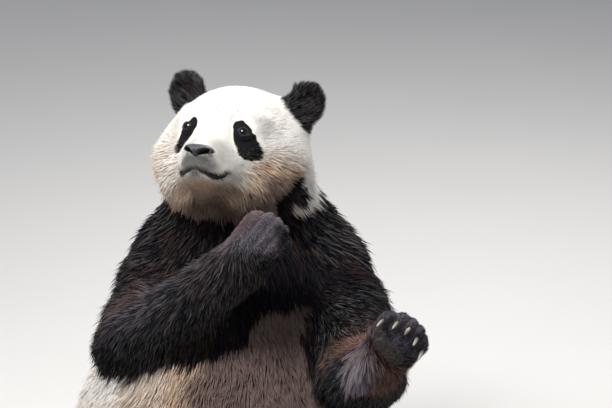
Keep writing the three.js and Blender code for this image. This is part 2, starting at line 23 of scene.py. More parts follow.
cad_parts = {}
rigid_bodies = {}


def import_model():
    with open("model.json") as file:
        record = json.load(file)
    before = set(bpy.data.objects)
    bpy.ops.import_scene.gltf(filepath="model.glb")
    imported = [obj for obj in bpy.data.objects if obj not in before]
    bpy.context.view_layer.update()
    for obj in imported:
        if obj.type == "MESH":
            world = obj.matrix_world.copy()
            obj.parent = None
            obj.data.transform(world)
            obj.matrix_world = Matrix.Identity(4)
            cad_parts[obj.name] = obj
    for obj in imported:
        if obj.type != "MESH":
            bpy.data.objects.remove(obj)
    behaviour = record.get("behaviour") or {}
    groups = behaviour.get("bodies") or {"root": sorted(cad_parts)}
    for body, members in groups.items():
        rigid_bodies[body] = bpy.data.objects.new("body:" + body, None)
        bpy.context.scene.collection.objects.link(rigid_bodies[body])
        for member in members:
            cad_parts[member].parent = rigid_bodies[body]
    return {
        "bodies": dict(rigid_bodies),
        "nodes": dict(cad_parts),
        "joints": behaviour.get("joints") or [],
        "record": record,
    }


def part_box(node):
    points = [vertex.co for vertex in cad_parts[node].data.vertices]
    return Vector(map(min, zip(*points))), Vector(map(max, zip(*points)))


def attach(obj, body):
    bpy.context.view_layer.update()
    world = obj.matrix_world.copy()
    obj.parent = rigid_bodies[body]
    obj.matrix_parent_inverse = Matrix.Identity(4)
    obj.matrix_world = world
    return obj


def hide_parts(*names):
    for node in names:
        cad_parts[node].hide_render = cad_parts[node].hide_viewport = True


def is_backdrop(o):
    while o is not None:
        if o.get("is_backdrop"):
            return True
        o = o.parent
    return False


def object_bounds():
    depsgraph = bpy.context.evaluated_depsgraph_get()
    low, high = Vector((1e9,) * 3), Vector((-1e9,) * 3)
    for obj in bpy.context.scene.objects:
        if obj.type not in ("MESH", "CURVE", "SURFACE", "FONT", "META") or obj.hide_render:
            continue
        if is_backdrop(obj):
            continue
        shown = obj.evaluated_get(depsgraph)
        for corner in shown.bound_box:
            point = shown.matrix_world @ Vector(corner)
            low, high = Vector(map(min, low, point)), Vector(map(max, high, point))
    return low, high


LOG = logging.getLogger("panda")
MM = 0.001
BODY = "root"
SEED = 20260
Array = np.ndarray


# ---- Numbers ----


def unit(vectors: Array) -> Array:
    """Vectors at length 1."""
    return vectors / np.maximum(np.linalg.norm(vectors, axis=-1, keepdims=True), 1e-9)


def ramp(low: float, high: float, value: Array) -> Array:
    """A smooth step from 0 at low to 1 at high, which may be the smaller of the two."""
    t = np.clip((value - low) / (high - low), 0.0, 1.0)
    return t * t * (3 - 2 * t)


def bump(centre: float, half: float, value: Array) -> Array:
    """A soft bell of height 1 at centre that fades out at half on both sides."""
    return ramp(half, 0.0, np.abs(value - centre))


def rotation(axis: int, degrees: float) -> Array:
    """The right-handed rotation about a main axis.

    Args:
        axis: 0, 1 or 2 for x, y or z.
        degrees: the angle.

    Returns:
        A 3 by 3 matrix that turns column vectors.
    """
    c, s = math.cos(math.radians(degrees)), math.sin(math.radians(degrees))
    turn = np.eye(3)
    i, j = (axis + 1) % 3, (axis + 2) % 3
    turn[i, i] = turn[j, j] = c
    turn[i, j], turn[j, i] = -s, s
    return turn


def to_segment(points: Array, start: Array, end: Array) -> Array:
    """Distances from points to a straight segment.

    Args:
        points: one place on each row.
        start: the segment's start.
        end: its end.

    Returns:
        One distance for each point.
    """
    along = np.asarray(end, float) - start
    share = np.clip(((points - start) @ along) / (along @ along), 0.0, 1.0)
    return np.linalg.norm(points - start - share[:, None] * along, axis=1)


class Ripple:
    """Smooth seeded noise made of sine waves, mostly from -1 to 1."""

    def __init__(self, seed: int, wavelength: float, waves: int = 12) -> None:
        """Draws the waves.

        Args:
            seed: makes the same noise each time.
            wavelength: about how far apart its crests are.
            waves: how many sine waves are added.
        """
        random = np.random.default_rng(seed)
        ways = unit(random.normal(size=(waves, 3)))
        self.ways = ways * (2 * math.pi / wavelength) * random.uniform(0.6, 1.7, (waves, 1))
        self.phases = random.uniform(0, 2 * math.pi, waves)

    def at(self, points: Array) -> Array:
        """The noise at each point."""
        return np.sin(points @ self.ways.T + self.phases).sum(1) / math.sqrt(2 * len(self.phases))


# ---- Meshes ----


def centre_of(node: str) -> Array:
    """The middle of a node's box."""
    low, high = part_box(node)
    return np.array((low + high) / 2)


def folded(points: Array) -> Array:
    """Points with those on the right mirrored to the left."""
    return np.abs(points[:, :1]) * (1, 0, 0) + points * (0, 1, 1)


def pick(obj: bpy.types.Object) -> None:
    """Makes an object the only selected one, and the active one.

    Args:
        obj: any object of the scene.
    """
    bpy.ops.object.select_all(action="DESELECT")
    obj.select_set(True)
    bpy.context.view_layer.objects.active = obj


def apply_modifier(obj: bpy.types.Object, kind: str, **settings: Any) -> None:
    """Adds a modifier with its settings and applies it.

    Args:
        obj: a mesh object.
        kind: Blender's name for the modifier.
        **settings: the modifier's values, by name.
    """
    pick(obj)
    bpy.ops.object.modifier_add(type=kind)
    modifier = obj.modifiers[-1]
    for name, value in settings.items():
        setattr(modifier, name, value)
    bpy.ops.object.modifier_apply(modifier=modifier.name)


def edit_faces(obj: bpy.types.Object, faces: Array) -> None:
    """Opens edit mode with just these faces selected.

    Args:
        obj: a mesh object.
        faces: one truth value for each face.
    """
    pick(obj)
    mesh = obj.data
    mesh.vertices.foreach_set("select", np.zeros(len(mesh.vertices), bool))
    mesh.edges.foreach_set("select", np.zeros(len(mesh.edges), bool))
    mesh.polygons.foreach_set("select", faces)
    bpy.context.tool_settings.mesh_select_mode = (False, False, True)
    bpy.ops.object.mode_set(mode="EDIT")


def edit_all(obj: bpy.types.Object) -> None:
    """Opens edit mode with all of a mesh selected."""
    edit_faces(obj, np.ones(len(obj.data.polygons), bool))
    bpy.ops.mesh.select_all(action="SELECT")


def leave_edit() -> None:
    """Goes back to object mode."""
    bpy.ops.object.mode_set(mode="OBJECT")


def read(items: Any, name: str, width: int, kind: type = np.float32) -> Array:
    """One property of a mesh's elements.

    Args:
        items: its vertices, edges, faces, triangles or map corners.
        name: Blender's name for the property.
        width: how many numbers it holds.
        kind: the type of these numbers.

    Returns:
        An array with one row for each element.
    """
    values = np.empty(len(items) * width, kind)
    items.foreach_get(name, values)
    return values.reshape(-1, width)


def points_of(obj: bpy.types.Object) -> Array:
    """The places of a mesh's vertices, one row each."""
    return read(obj.data.vertices, "co", 3).astype(float)


def move_points(obj: bpy.types.Object, places: Array) -> None:
    """Puts a mesh's vertices at these places."""
    obj.data.vertices.foreach_set("co", places.astype(np.float32).ravel())
    obj.data.update()


def normals_of(obj: bpy.types.Object) -> Array:
    """The outward normals at a mesh's vertices."""
    return unit(read(obj.data.vertices, "normal", 3).astype(float))


def face_middles(obj: bpy.types.Object) -> Array:
    """The middles of a mesh's faces."""
    return read(obj.data.polygons, "center", 3).astype(float)


def edges_of(obj: bpy.types.Object) -> Array:
    """The pairs of vertices that a mesh's edges join."""
    return read(obj.data.edges, "vertices", 2, np.int32)


def tree_of(mesh: bpy.types.Mesh, points: Array | None = None) -> BVHTree:
    """A search tree over a mesh's faces.

    Args:
        mesh: whose faces the tree holds.
        points: where the vertices are taken to be, or none for where they are.

    Returns:
        The tree.
    """
    corners = [v.co.copy() for v in mesh.vertices] if points is None else [Vector(p) for p in points]
    return BVHTree.FromPolygons(corners, [tuple(p.vertices) for p in mesh.polygons])


def evened(values: Array, pairs: Array, rounds: int, share: Array | float = 0.5) -> Array:
    """Values at a mesh's vertices, evened out over their neighbours.

    Args:
        values: one row for each vertex.
        pairs: the mesh's edges.
        rounds: how many times each vertex moves towards its neighbours' mean.
        share: how far it moves each time, for all or for each vertex.

    Returns:
        The evened values.
    """
    values = np.asarray(values, float)
    flat = values.reshape(len(values), -1).copy()
    count = len(flat)
    ends, others = np.concatenate([pairs, pairs[:, ::-1]]).T
    degree = np.maximum(np.bincount(ends, minlength=count), 1)
    share = np.asarray(share, float).reshape(-1, 1)
    for _ in range(rounds):
        for column in range(flat.shape[1]):
            mean = np.bincount(ends, flat[others, column], minlength=count) / degree
            flat[:, column] += share[:, 0] * (mean - flat[:, column])
    return flat.reshape(values.shape)


def store(obj: bpy.types.Object, name: str, values: Array) -> None:
    """Keeps one number for each vertex as an attribute that materials read."""
    attribute = obj.data.attributes.get(name) or obj.data.attributes.new(name, "FLOAT", "POINT")
    attribute.data.foreach_set("value", values.astype(np.float32))


def copy_of(node: bpy.types.Object, name: str) -> bpy.types.Object:
    """A free copy of a CAD node with its loose triangles merged.

    Args:
        node: the CAD node's object, which stays as it is.
        name: the copy's name.

    Returns:
        The copy, on no body.
    """
    copy = bpy.data.objects.new(name, node.data.copy())
    bpy.context.scene.collection.objects.link(copy)
    copy.data.materials.clear()
    edit_all(copy)
    bpy.ops.mesh.remove_doubles(threshold=1e-5)
    leave_edit()
    return copy


def join(objects: list[bpy.types.Object], name: str) -> bpy.types.Object:
    """Joins mesh objects into the first of them.

    Args:
        objects: what is joined.
        name: the joined object's name.

    Returns:
        The joined object.
    """
    pick(objects[0])
    for obj in objects[1:]:
        obj.select_set(True)
    bpy.ops.object.join()
    objects[0].name = objects[0].data.name = name
    return objects[0]


def dress(obj: bpy.types.Object, material: bpy.types.Material) -> None:
    """Gives a finished piece its material and its place on the body.

    Args:
        obj: the piece.
        material: its only material.
    """
    obj.data.materials.clear()
    obj.data.materials.append(material)
    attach(obj, BODY)


# ---- Shader maths ----


class Wire:
    """A number that varies over a surface. Arithmetic on it adds Math nodes."""

    def __init__(self, paint: Paint, socket: bpy.types.NodeSocket) -> None:
        """Wraps a node's output socket."""
        self.paint = paint
        self.socket = socket

    def math(self, operation: str, *values: Wire | float) -> Wire:
        """A Math node on these values, in this order."""
        node = self.paint.node("ShaderNodeMath", {"operation": operation}, *values)
        return Wire(self.paint, node.outputs[0])

    def __add__(self, other: Wire | float) -> Wire:
        """The sum."""
        return self.math("ADD", self, other)

    def __radd__(self, other: float) -> Wire:
        """The sum, with a number first."""
        return self.math("ADD", self, other)

    def __sub__(self, other: Wire | float) -> Wire:
        """The difference."""
        return self.math("SUBTRACT", self, other)

    def __rsub__(self, other: float) -> Wire:
        """The difference, with a number first."""
        return self.math("SUBTRACT", other, self)

    def __mul__(self, other: Wire | float) -> Wire:
        """The product."""
        return self.math("MULTIPLY", self, other)

    def step(self, low: float, high: float) -> Wire:
        """A smooth step of this value.

        Args:
            low: the value that gives 0.
            high: the value that gives 1.

        Returns:
            A number from 0 to 1.
        """
        node = self.paint.node(
            "ShaderNodeMapRange",
            {"interpolation_type": "SMOOTHSTEP"},
            **{"Value": self, "From Min": low, "From Max": high},
        )
        return Wire(self.paint, node.outputs[0])


# A Mix node has sockets for each kind of value. These are its factor and its two colours, and the
# colour that comes out.
MIX_INPUTS = (0, 6, 7)
MIX_RESULT = 2


class Paint:
    """A procedural material on one Principled shader."""

    def __init__(self, name: str) -> None:
        """Starts an empty material.

        Args:
            name: the material's name.
        """
        self.material = bpy.data.materials.new(name)
        self.material.use_nodes = True
        self.tree = self.material.node_tree
        self.tree.nodes.clear()
        self.shader = self.node("ShaderNodeBsdfPrincipled", {})
        output = self.node("ShaderNodeOutputMaterial", {})
        self.tree.links.new(self.shader.outputs[0], output.inputs["Surface"])
        self.place = self.node("ShaderNodeTexCoord", {}).outputs["Object"]

    def node(self, kind: str, settings: dict[str, Any], *values: Any, **named: Any) -> bpy.types.Node:
        """Adds a node.

        Args:
            kind: the node's type.
            settings: its properties, set first.
            *values: values or links of its first sockets, in order.
            **named: values or links of its sockets, by name.

        Returns:
            The node.
        """
        node = self.tree.nodes.new(kind)
        for name, value in settings.items():
            setattr(node, name, value)
        for key, value in [*enumerate(values), *named.items()]:
            self.feed(node.inputs[key], value)
        return node

    def feed(self, socket: bpy.types.NodeSocket, value: Any) -> None:
        """Links or sets a socket.

        Args:
            socket: an input.
            value: a wire, an output socket or a plain value.
        """
        source = value.socket if isinstance(value, Wire) else value
        if isinstance(source, bpy.types.NodeSocket):
            self.tree.links.new(source, socket)
        else:
            socket.default_value = source

    def attribute(self, name: str) -> Wire:
        """A number kept on the mesh's vertices."""
        return Wire(self, self.node("ShaderNodeAttribute", {"attribute_name": name}).outputs["Fac"])

    def noise(self, scale: float, detail: float, rough: float = 0.5) -> Wire:
        """Noise over the object's own coordinates.

        Args:
            scale: how many of its spots go in a metre.
            detail: how many finer layers it has.
            rough: how strong the finer layers are.

        Returns:
            A number from 0 to 1.
        """
        sockets = {"Vector": self.place, "Scale": scale, "Detail": detail, "Roughness": rough}
        node = self.node("ShaderNodeTexNoise", {}, **sockets)
        return Wire(self, node.outputs["Fac"])

    def mix(self, share: Wire | float, low: Any, high: Any) -> bpy.types.NodeSocket:
        """A colour between two colours.

        Args:
            share: 0 for the first colour to 1 for the second.
            low: the first colour, as four numbers or a socket.
            high: the second one.

        Returns:
            The mixed colour.
        """
        node = self.node("ShaderNodeMix", {"data_type": "RGBA"})
        for index, value in zip(MIX_INPUTS, (share, low, high)):
            self.feed(node.inputs[index], value)
        return node.outputs[MIX_RESULT]

    def bump(self, height: Wire, distance: float, strength: float = 1.0) -> None:
        """Gives the shader a finely uneven surface.

        Args:
            height: the relief, from about 0 to 1.
            distance: how many metres 1 stands for.
            strength: how much of it shows.
        """
        sockets = {"Strength": strength, "Distance": distance, "Height": height}
        node = self.node("ShaderNodeBump", {}, **sockets)
        self.tree.links.new(node.outputs[0], self.shader.inputs["Normal"])

    def set(self, **sockets: Any) -> None:
        """Sets or links the shader's sockets; an underscore in a name stands for a space."""
        for key, value in sockets.items():
            self.feed(self.shader.inputs[key.replace("_", " ")], value)


def rgb(red: float, green: float, blue: float) -> tuple[float, float, float, float]:
    """A solid linear colour."""
    return (red, green, blue, 1.0)


# ---- Finishes ----


@dataclass(frozen=True)
class CoatFinish:
    """Black, white and earth-stained hair, lighter at its tips. Colours are linear."""

    # Each root colour is darker than its tip: painted shade deep in the coat.
    white_root: tuple = rgb(0.79, 0.75, 0.69)
    white_tip: tuple = rgb(0.90, 0.87, 0.82)
    stain_root: tuple = rgb(0.20, 0.125, 0.080)
    stain_tip: tuple = rgb(0.53, 0.39, 0.285)
    # Mud-brown for the belly's middle and under the jaw: partly earth, partly painted shade.
    mud_root: tuple = rgb(0.055, 0.037, 0.034)
    mud_tip: tuple = rgb(0.165, 0.118, 0.108)
    black_root: tuple = rgb(0.0015, 0.0015, 0.0022)
    black_tip: tuple = rgb(0.0050, 0.0052, 0.0086)
    # Pale tips on black hair: partly frost, partly a painted highlight.
    frost_tip: tuple = rgb(0.165, 0.145, 0.180)
    rust_tip: tuple = rgb(0.150, 0.066, 0.042)

    def colour(self, paint: Paint, along: Wire) -> bpy.types.NodeSocket:
        """The coat's colour from its marks.

        Args:
            paint: the material.
            along: 0 at a hair's root and 1 at its tip.

        Returns:
            A colour socket.
        """
        tone = paint.attribute("tone")
        stain = paint.attribute("stain") + tone * 0.10
        # Darker towards the root: painted shade deep in the coat.
        white = paint.mix(along, self.white_root, self.white_tip)
        stained = paint.mix(along, self.stain_root, self.stain_tip)
        mud_and_shade = paint.mix(along, self.mud_root, self.mud_tip)
        earthy = paint.mix(stain.step(0.0, 1.0), white, stained)
        # A stain over 1 turns mud-brown, which is partly painted shade.
        light = paint.mix(stain.step(1.0, 1.9), earthy, mud_and_shade)
        dark = paint.mix(along, self.black_root, self.black_tip)
        # Pale tips, partly a painted highlight on the arms' ridges and the fist.
        frost = (paint.attribute("frost") + tone * 0.15).step(0.1, 1.0)
        with_frost_and_sheen = paint.mix(along * frost, dark, self.frost_tip)
        rusty = paint.mix(along * paint.attribute("rust"), with_frost_and_sheen, self.rust_tip)
        return paint.mix(paint.attribute("dark"), light, rusty)

    def make(self) -> bpy.types.Material:
        """The tufts' material.

        Returns:
            The material.
        """
        paint = Paint("coat_hair")
        along = paint.attribute("along").step(0.0, 0.9)
        paint.set(Base_Color=self.colour(paint, along), Roughness=0.6, Specular_IOR_Level=0.02)
        return paint.material


@dataclass(frozen=True)
class SkinFinish:
    """The skin under the coat, with its hair's colours, and bare dark hide on pads, lids and lips."""

    hide: tuple = rgb(0.014, 0.012, 0.013)
    hide_worn: tuple = rgb(0.040, 0.034, 0.036)
    pad: tuple = rgb(0.045, 0.030, 0.026)
    pad_worn: tuple = rgb(0.13, 0.088, 0.072)

    def make(self, coat: CoatFinish) -> bpy.types.Material:
        """The skin's material.

        Args:
            coat: the finish of the hair that grows on it.

        Returns:
            The material.
        """
        paint = Paint("hide")
        short = paint.noise(420.0, 4.0, 0.6)
        pores = paint.noise(900.0, 2.0, 0.6)
        folds = paint.noise(150.0, 3.0, 0.55)
        bare = paint.attribute("bare")
        # The skin takes the hair's darker root colours: painted shade under the coat.
        hair = coat.colour(paint, short * 0.55)
        worn = folds.step(0.35, 0.75)
        pads = paint.mix(worn, self.pad, self.pad_worn)
        hide = paint.mix(paint.attribute("rust"), paint.mix(worn, self.hide, self.hide_worn), pads)
        paint.set(Base_Color=paint.mix(bare, hair, hide))
        paint.set(Roughness=0.85 - bare * 0.28 - pores * bare * 0.1, Specular_IOR_Level=0.25)
        paint.bump(short * (1 - bare) + (folds * 0.8 + pores * 0.35) * bare, 0.0012)
        return paint.material


@dataclass(frozen=True)
class LeatherFinish:
    """The nose's moist pebbled leather."""

    # Painted shade inside the nostrils.
    inside: tuple = rgb(0.002, 0.002, 0.002)
    low: tuple = rgb(0.010, 0.010, 0.012)
    high: tuple = rgb(0.080, 0.084, 0.100)

    def make(self) -> bpy.types.Material:
        """The nose's material.

        The attribute "hollow" is 1 inside the nostrils and 0 outside them; the near-black colour there is
        painted shade.

        Returns:
            The material.
        """
        paint = Paint("nose_leather")
        sockets = {"Vector": paint.place, "Scale": 620.0}
        cells = paint.node("ShaderNodeTexVoronoi", {"feature": "DISTANCE_TO_EDGE"}, **sockets)
        pebble = Wire(paint, cells.outputs["Distance"]).step(0.0, 0.22)
        cloud = paint.noise(90.0, 3.0)
        leather = paint.mix(pebble * 0.5 + cloud * 0.5, self.low, self.high)
        hollow = paint.attribute("hollow")
        # The nostrils are near-black: painted shade.
        paint.set(Base_Color=paint.mix(hollow, leather, self.inside))
        paint.set(Roughness=0.36 + cloud * 0.16 + hollow * 0.5)
        paint.set(Coat_Weight=0.25 - hollow * 0.25, Coat_Roughness=0.3)
        paint.bump(pebble * 0.7 + cloud * 0.5, 0.0004, 0.8)
        return paint.material


@dataclass(frozen=True)
class EyeFinish:
    """A dark brown eye with a round pupil under a wet, clear front."""

    iris: tuple = rgb(0.014, 0.007, 0.005)
    rim: tuple = rgb(0.004, 0.003, 0.003)
    pupil: tuple = rgb(0.001, 0.001, 0.0015)
    white: tuple = rgb(0.020, 0.015, 0.014)

    def make(self) -> bpy.types.Material:
        """The eyeball's material.

        The attribute "off_axis" is 0 at the pupil's middle and 1 at 90 degrees from it.

        Returns:
            The material.
        """
        paint = Paint("eye_gloss")
        off = paint.attribute("off_axis")
        rays = paint.noise(900.0, 2.0, 0.6)
        iris = paint.mix(rays.step(0.3, 0.7), self.rim, self.iris)
        ball = paint.mix((off + rays * 0.03).step(0.56, 0.66), iris, self.white)
        paint.set(Base_Color=paint.mix(off.step(0.24, 0.29), self.pupil, ball))
        paint.set(Roughness=0.12, Coat_Weight=0.7, Coat_Roughness=0.02, Specular_IOR_Level=0.15)
        return paint.material


@dataclass(frozen=True)
class HornFinish:
    """Pale grey-brown claw horn, streaked along its length and darker at the root."""

    root: tuple = rgb(0.10, 0.078, 0.062)
    tip: tuple = rgb(0.44, 0.39, 0.32)

    def make(self) -> bpy.types.Material:
        """The claws' material.

        The attribute "along" is 0 at a claw's root and 1 at its tip.

        Returns:
            The material.
        """
        paint = Paint("claw_horn")
        streaks = paint.noise(260.0, 4.0, 0.65)
        along = paint.attribute("along")
        paler = (along * 0.8 + streaks * 0.5 - 0.15).step(0.0, 1.0)
        paint.set(Base_Color=paint.mix(paler, self.root, self.tip))
        paint.set(Roughness=0.34 + streaks * 0.2)
        paint.bump(streaks, 0.0004, 0.6)
        return paint.material


# ---- Frames of head and paws ----


@dataclass
class HeadFrame:
    """The head's own axes in millimetres: x to its left, -y out of its face, z to its crown."""

    yaw: float = -7.2
    pitch: float = -24.6
    roll: float = -1.5
    eye: tuple[float, float, float] = (53.0, -103.0, 23.0)
    nose: tuple[float, float, float] = (0.0, -176.0, -25.0)
    turn: Array = field(init=False)
    origin: Array = field(init=False)

    def __post_init__(self) -> None:
        """Finds the origin from the two eyes."""
        self.turn = rotation(2, self.yaw) @ rotation(0, self.pitch) @ rotation(1, self.roll)
        middle = (centre_of("eye_left") + centre_of("eye_right")) / 2
        self.origin = middle - self.turn @ (0.0, self.eye[1] * MM, self.eye[2] * MM)

    def inside(self, points: Array) -> Array:
        """Body points in the head's millimetres."""
        return (points - self.origin) @ self.turn / MM

    def middles(self, *nodes: str) -> Array:
        """The middles of some nodes, one row each, in the head's millimetres."""
        return self.inside(np.array([centre_of(node) for node in nodes]))

    def outside(self, points: Array) -> Array:
        """Points in the head's millimetres, in the body's metres."""
        return (np.asarray(points, float) * MM) @ self.turn.T + self.origin

    def way_inside(self, ways: Array) -> Array:
        """Body directions on the head's axes."""
        return ways @ self.turn

    def way_outside(self, ways: Array) -> Array:
        """Directions on the head's axes, on the body's."""
        return np.asarray(ways, float) @ self.turn.T


@dataclass
class PawFrame:
    """A paw's own axes in millimetres: y to its fingers, z out of its back, origin at its wrist."""

    name: str
    along: tuple[float, float, float]
    back: tuple[float, float, float]
    claws_at: tuple[float, float]  # how far the claws' middle lies from the wrist, on y and z
    knuckle: float  # how far the toes' roots lie from the wrist
    gap: float = 19.3  # from one toe's middle to the next
    turn: Array = field(init=False)
    origin: Array = field(init=False)

    def __post_init__(self) -> None:
        """Finds the wrist from the middle of the claws."""
        y = unit(np.array(self.along, float))
        x = unit(np.cross(y, self.back))
        self.turn = np.stack([x, y, np.cross(x, y)], 1)
        claws = np.mean([centre_of(f"{self.name}_claw_{i}") for i in range(1, 6)], 0)
        self.origin = claws - self.turn @ (0.0, self.claws_at[0] * MM, self.claws_at[1] * MM)

    def inside(self, points: Array) -> Array:
        """Body points in the paw's millimetres."""
        return (points - self.origin) @ self.turn / MM

    def toes(self, inside: Array) -> tuple[Array, Array]:
        """How much points belong to the toes, and how near they lie to the cleft between two.

        Args:
            inside: points in the paw's millimetres.

        Returns:
            Two arrays from 0 to 1.
        """
        x, y = inside[:, 0] / self.gap, inside[:, 1]
        off = np.where(np.abs(x) > 2, 0, np.abs(x - np.round(x)))
        return ramp(self.knuckle - 20, self.knuckle - 6, y + 4.5 * x**2), ramp(0.2, 0.5, off)


def paw_frames() -> dict[str, PawFrame]:
    """The four paws' frames.

    Returns:
        The frames by node name.
    """
    paws = [
        PawFrame("forepaw_right", (0.61, 0.14, 0.78), (0.12, -0.99, 0.08), (79, -37), 70),
        PawFrame("forepaw_left", (0.58, 0.24, 0.78), (-0.17, 0.97, -0.19), (92, -35), 70),
        PawFrame("hind_foot_left", (0.1, -0.16, 0.98), (0.0, 0.98, 0.16), (160, -12), 118),
        PawFrame("hind_foot_right", (-0.1, -0.16, 0.98), (0.0, 0.98, 0.16), (160, -12), 118),
    ]
    return {paw.name: paw for paw in paws}


# ---- Where on the body ----

SIDES = ("left", "right")
LOCKS = (0.275, -0.225, 0.545)  # the middle of the long locks under the left wrist
WRIST_RUST = {"left": 0.65, "right": 0.05}  # how rusty the hair round each wrist is
# The pale tips along each arm's upper ridge are a painted highlight.
ARM_RIDGE_SHEEN = {"left": 0.25, "right": 0.5}  # how pale the tips on each arm's ridge are
FLESH = ["head", "neck", "trunk", "tail"] + [
    f"{part}_{side}"
    for part in ("ear", "upper_arm", "forearm", "forepaw", "thigh", "shank", "hind_foot")
    for side in SIDES
]


class Place(Enum):
    """A stretch of skin with its own kind of coat."""

    CROWN = "crown"
    CHEEK = "cheek"
    MUZZLE = "muzzle"
    EAR = "ear"
    NECK = "neck"
    BACK = "back"
    BELLY = "belly"
    TAIL = "tail"
    UPPER_ARM = "upper_arm"
    FOREARM = "forearm"
    FOREPAW = "forepaw"
    LEG = "leg"
    FOOT = "foot"


@dataclass(frozen=True)
class Growth:
    """How the coat grows in one place. Lengths are in millimetres."""

    length: float
    width: float
    depth: float  # how far the skin lies under the solids' outside
    stand: float  # how high the tips stand over the skin
    spacing: float  # between neighbouring roots
    clump: float  # 0 for loose hair to 1 for tight locks
    droop: float  # how much its own weight bends it


GROWTHS = {
    Place.CROWN: Growth(18.0, 1.5, 9.0, 7.5, 2.15, 0.25, 0.0),
    Place.CHEEK: Growth(36.0, 1.9, 19.0, 19.0, 2.35, 0.35, 0.15),
    Place.MUZZLE: Growth(8.0, 1.0, 3.0, 3.0, 1.6, 0.15, 0.0),
    Place.EAR: Growth(22.0, 1.5, 5.0, 11.0, 1.8, 0.3, 0.0),
    Place.NECK: Growth(44.0, 2.3, 20.0, 20.0, 2.9, 0.45, 0.2),
    Place.BACK: Growth(52.0, 2.9, 20.0, 20.0, 3.8, 0.5, 0.2),
    Place.BELLY: Growth(36.0, 2.1, 17.0, 16.0, 2.95, 0.45, 0.2),
    Place.TAIL: Growth(52.0, 2.6, 18.0, 20.0, 3.0, 0.5, 0.2),
    Place.UPPER_ARM: Growth(48.0, 1.8, 20.0, 23.0, 2.35, 0.5, 0.15),
    Place.FOREARM: Growth(40.0, 1.7, 20.0, 19.0, 2.25, 0.45, 0.15),
    Place.FOREPAW: Growth(19.0, 1.4, 7.0, 7.5, 2.0, 0.35, 0.1),
    Place.LEG: Growth(44.0, 2.5, 18.0, 18.0, 3.3, 0.5, 0.2),
    Place.FOOT: Growth(20.0, 1.8, 8.0, 8.0, 2.5, 0.4, 0.1),
}


class Whereabouts:
    """How much each point of the skin belongs to each part of the body."""

    fade = 0.012  # how far a part's weight reaches past its edge
    far = 0.09  # how far off a part is looked for
    nose = (0, -160, -36)  # the muzzle's middle, in the head's millimetres

    def __init__(self, frame: dict[str, Any], head: HeadFrame) -> None:
        """Keeps a search tree for each solid of flesh.

        Args:
            head: the head's axes.
        """
        self.head = head
        self.trees = {}
        self.boxes = {}
        for name in FLESH:
            self.trees[name] = tree_of(frame["nodes"][name].data)
            self.boxes[name] = [np.array(corner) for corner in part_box(name)]

    def parts(self, points: Array) -> dict[str, Array]:
        """Weights that add up to 1 at each point.

        Args:
            points: places on the coat's outside.

        Returns:
            An array of weights for each solid of flesh, by node name.
        """
        weights = {}
        for name, tree in self.trees.items():
            low, high = self.boxes[name]
            outside = np.linalg.norm(np.maximum(0, np.maximum(low - points, points - high)), axis=1)
            distance = np.full(len(points), self.far)
            for i in np.flatnonzero(outside < self.far):
                distance[i] = tree.find_nearest(points[i])[3]
            weights[name] = np.exp(-distance / self.fade)
        total = sum(weights.values())
        return {name: weight / total for name, weight in weights.items()}

    def places(self, points: Array, normals: Array, parts: dict[str, Array]) -> dict[Place, Array]:
        """Splits the parts' weights into places with their own coats.

        Args:
            points: places on the skin.
            normals: which way it faces there.
            parts: the weights that parts() gave.

        Returns:
            An array of weights for each place.
        """
        inside = self.head.inside(points)
        x, y, z = folded(inside).T
        near_nose = np.linalg.norm(inside - self.nose, axis=1)
        near_eye = np.linalg.norm(folded(inside) - self.head.eye, axis=1)
        bridge = ramp(42, 20, x) * ramp(-75, -105, y) * ramp(58, 20, z)
        muzzle = np.maximum.reduce([ramp(92, 52, near_nose), ramp(50, 20, near_eye), bridge])
        jowl = ramp(30, -45, z) * ramp(40, 95, x)
        chin = ramp(-62, -96, z) * ramp(-150, -120, y)
        behind = ramp(70, 130, y) * ramp(40, -40, z)
        cheek = np.maximum.reduce([jowl, chin, behind]) * (1 - muzzle)
        head = parts["head"]
        front = ramp(-0.1, 0.5, -normals[:, 1]) * ramp(0.62, 0.5, points[:, 2])

        def both(name: str) -> Array:
            """The weights of a part's two sides together."""
            return parts[f"{name}_left"] + parts[f"{name}_right"]

        return {
            Place.MUZZLE: head * muzzle,
            Place.CHEEK: head * cheek,
            Place.CROWN: head * (1 - muzzle - cheek),
            Place.EAR: both("ear"),
            Place.NECK: parts["neck"],
            Place.BELLY: parts["trunk"] * front,
            Place.BACK: parts["trunk"] * (1 - front),
            Place.TAIL: parts["tail"],
            Place.UPPER_ARM: both("upper_arm"),
            Place.FOREARM: both("forearm"),
            Place.FOREPAW: both("forepaw"),
            Place.LEG: both("thigh") + both("shank"),
            Place.FOOT: both("hind_foot"),
        }


# ---- Markings ----


@dataclass
class EyePatch:
    """A black patch round one eye: an ellipse in front view, in the head's millimetres."""

    x: float
    z: float
    half_length: float
    half_width: float
    slant: float  # degrees from upright, its foot swung outwards
    power: float = 2.4  # fuller than an ellipse, which has 2
    flare: float = 0.12  # the share by which its foot is wider

    def cover(self, q: Array) -> Array:
        """How far inside the patch points are.

        Args:
            q: places in the head's millimetres.

        Returns:
            1 at its middle, 0 on its edge and less outside it.
        """
        c, s = math.cos(math.radians(self.slant)), math.sin(math.radians(self.slant))
        side = math.copysign(1.0, self.x)
        dx, dz = (q[:, 0] - self.x) * side, q[:, 2] - self.z
        down, across = dx * s - dz * c, dx * c + dz * s
        across = across / (1 + self.flare * down / self.half_length)
        reach = np.abs(down / self.half_length) ** self.power
        reach = reach + np.abs(across / self.half_width) ** self.power
        return 1 - reach ** (1 / self.power)


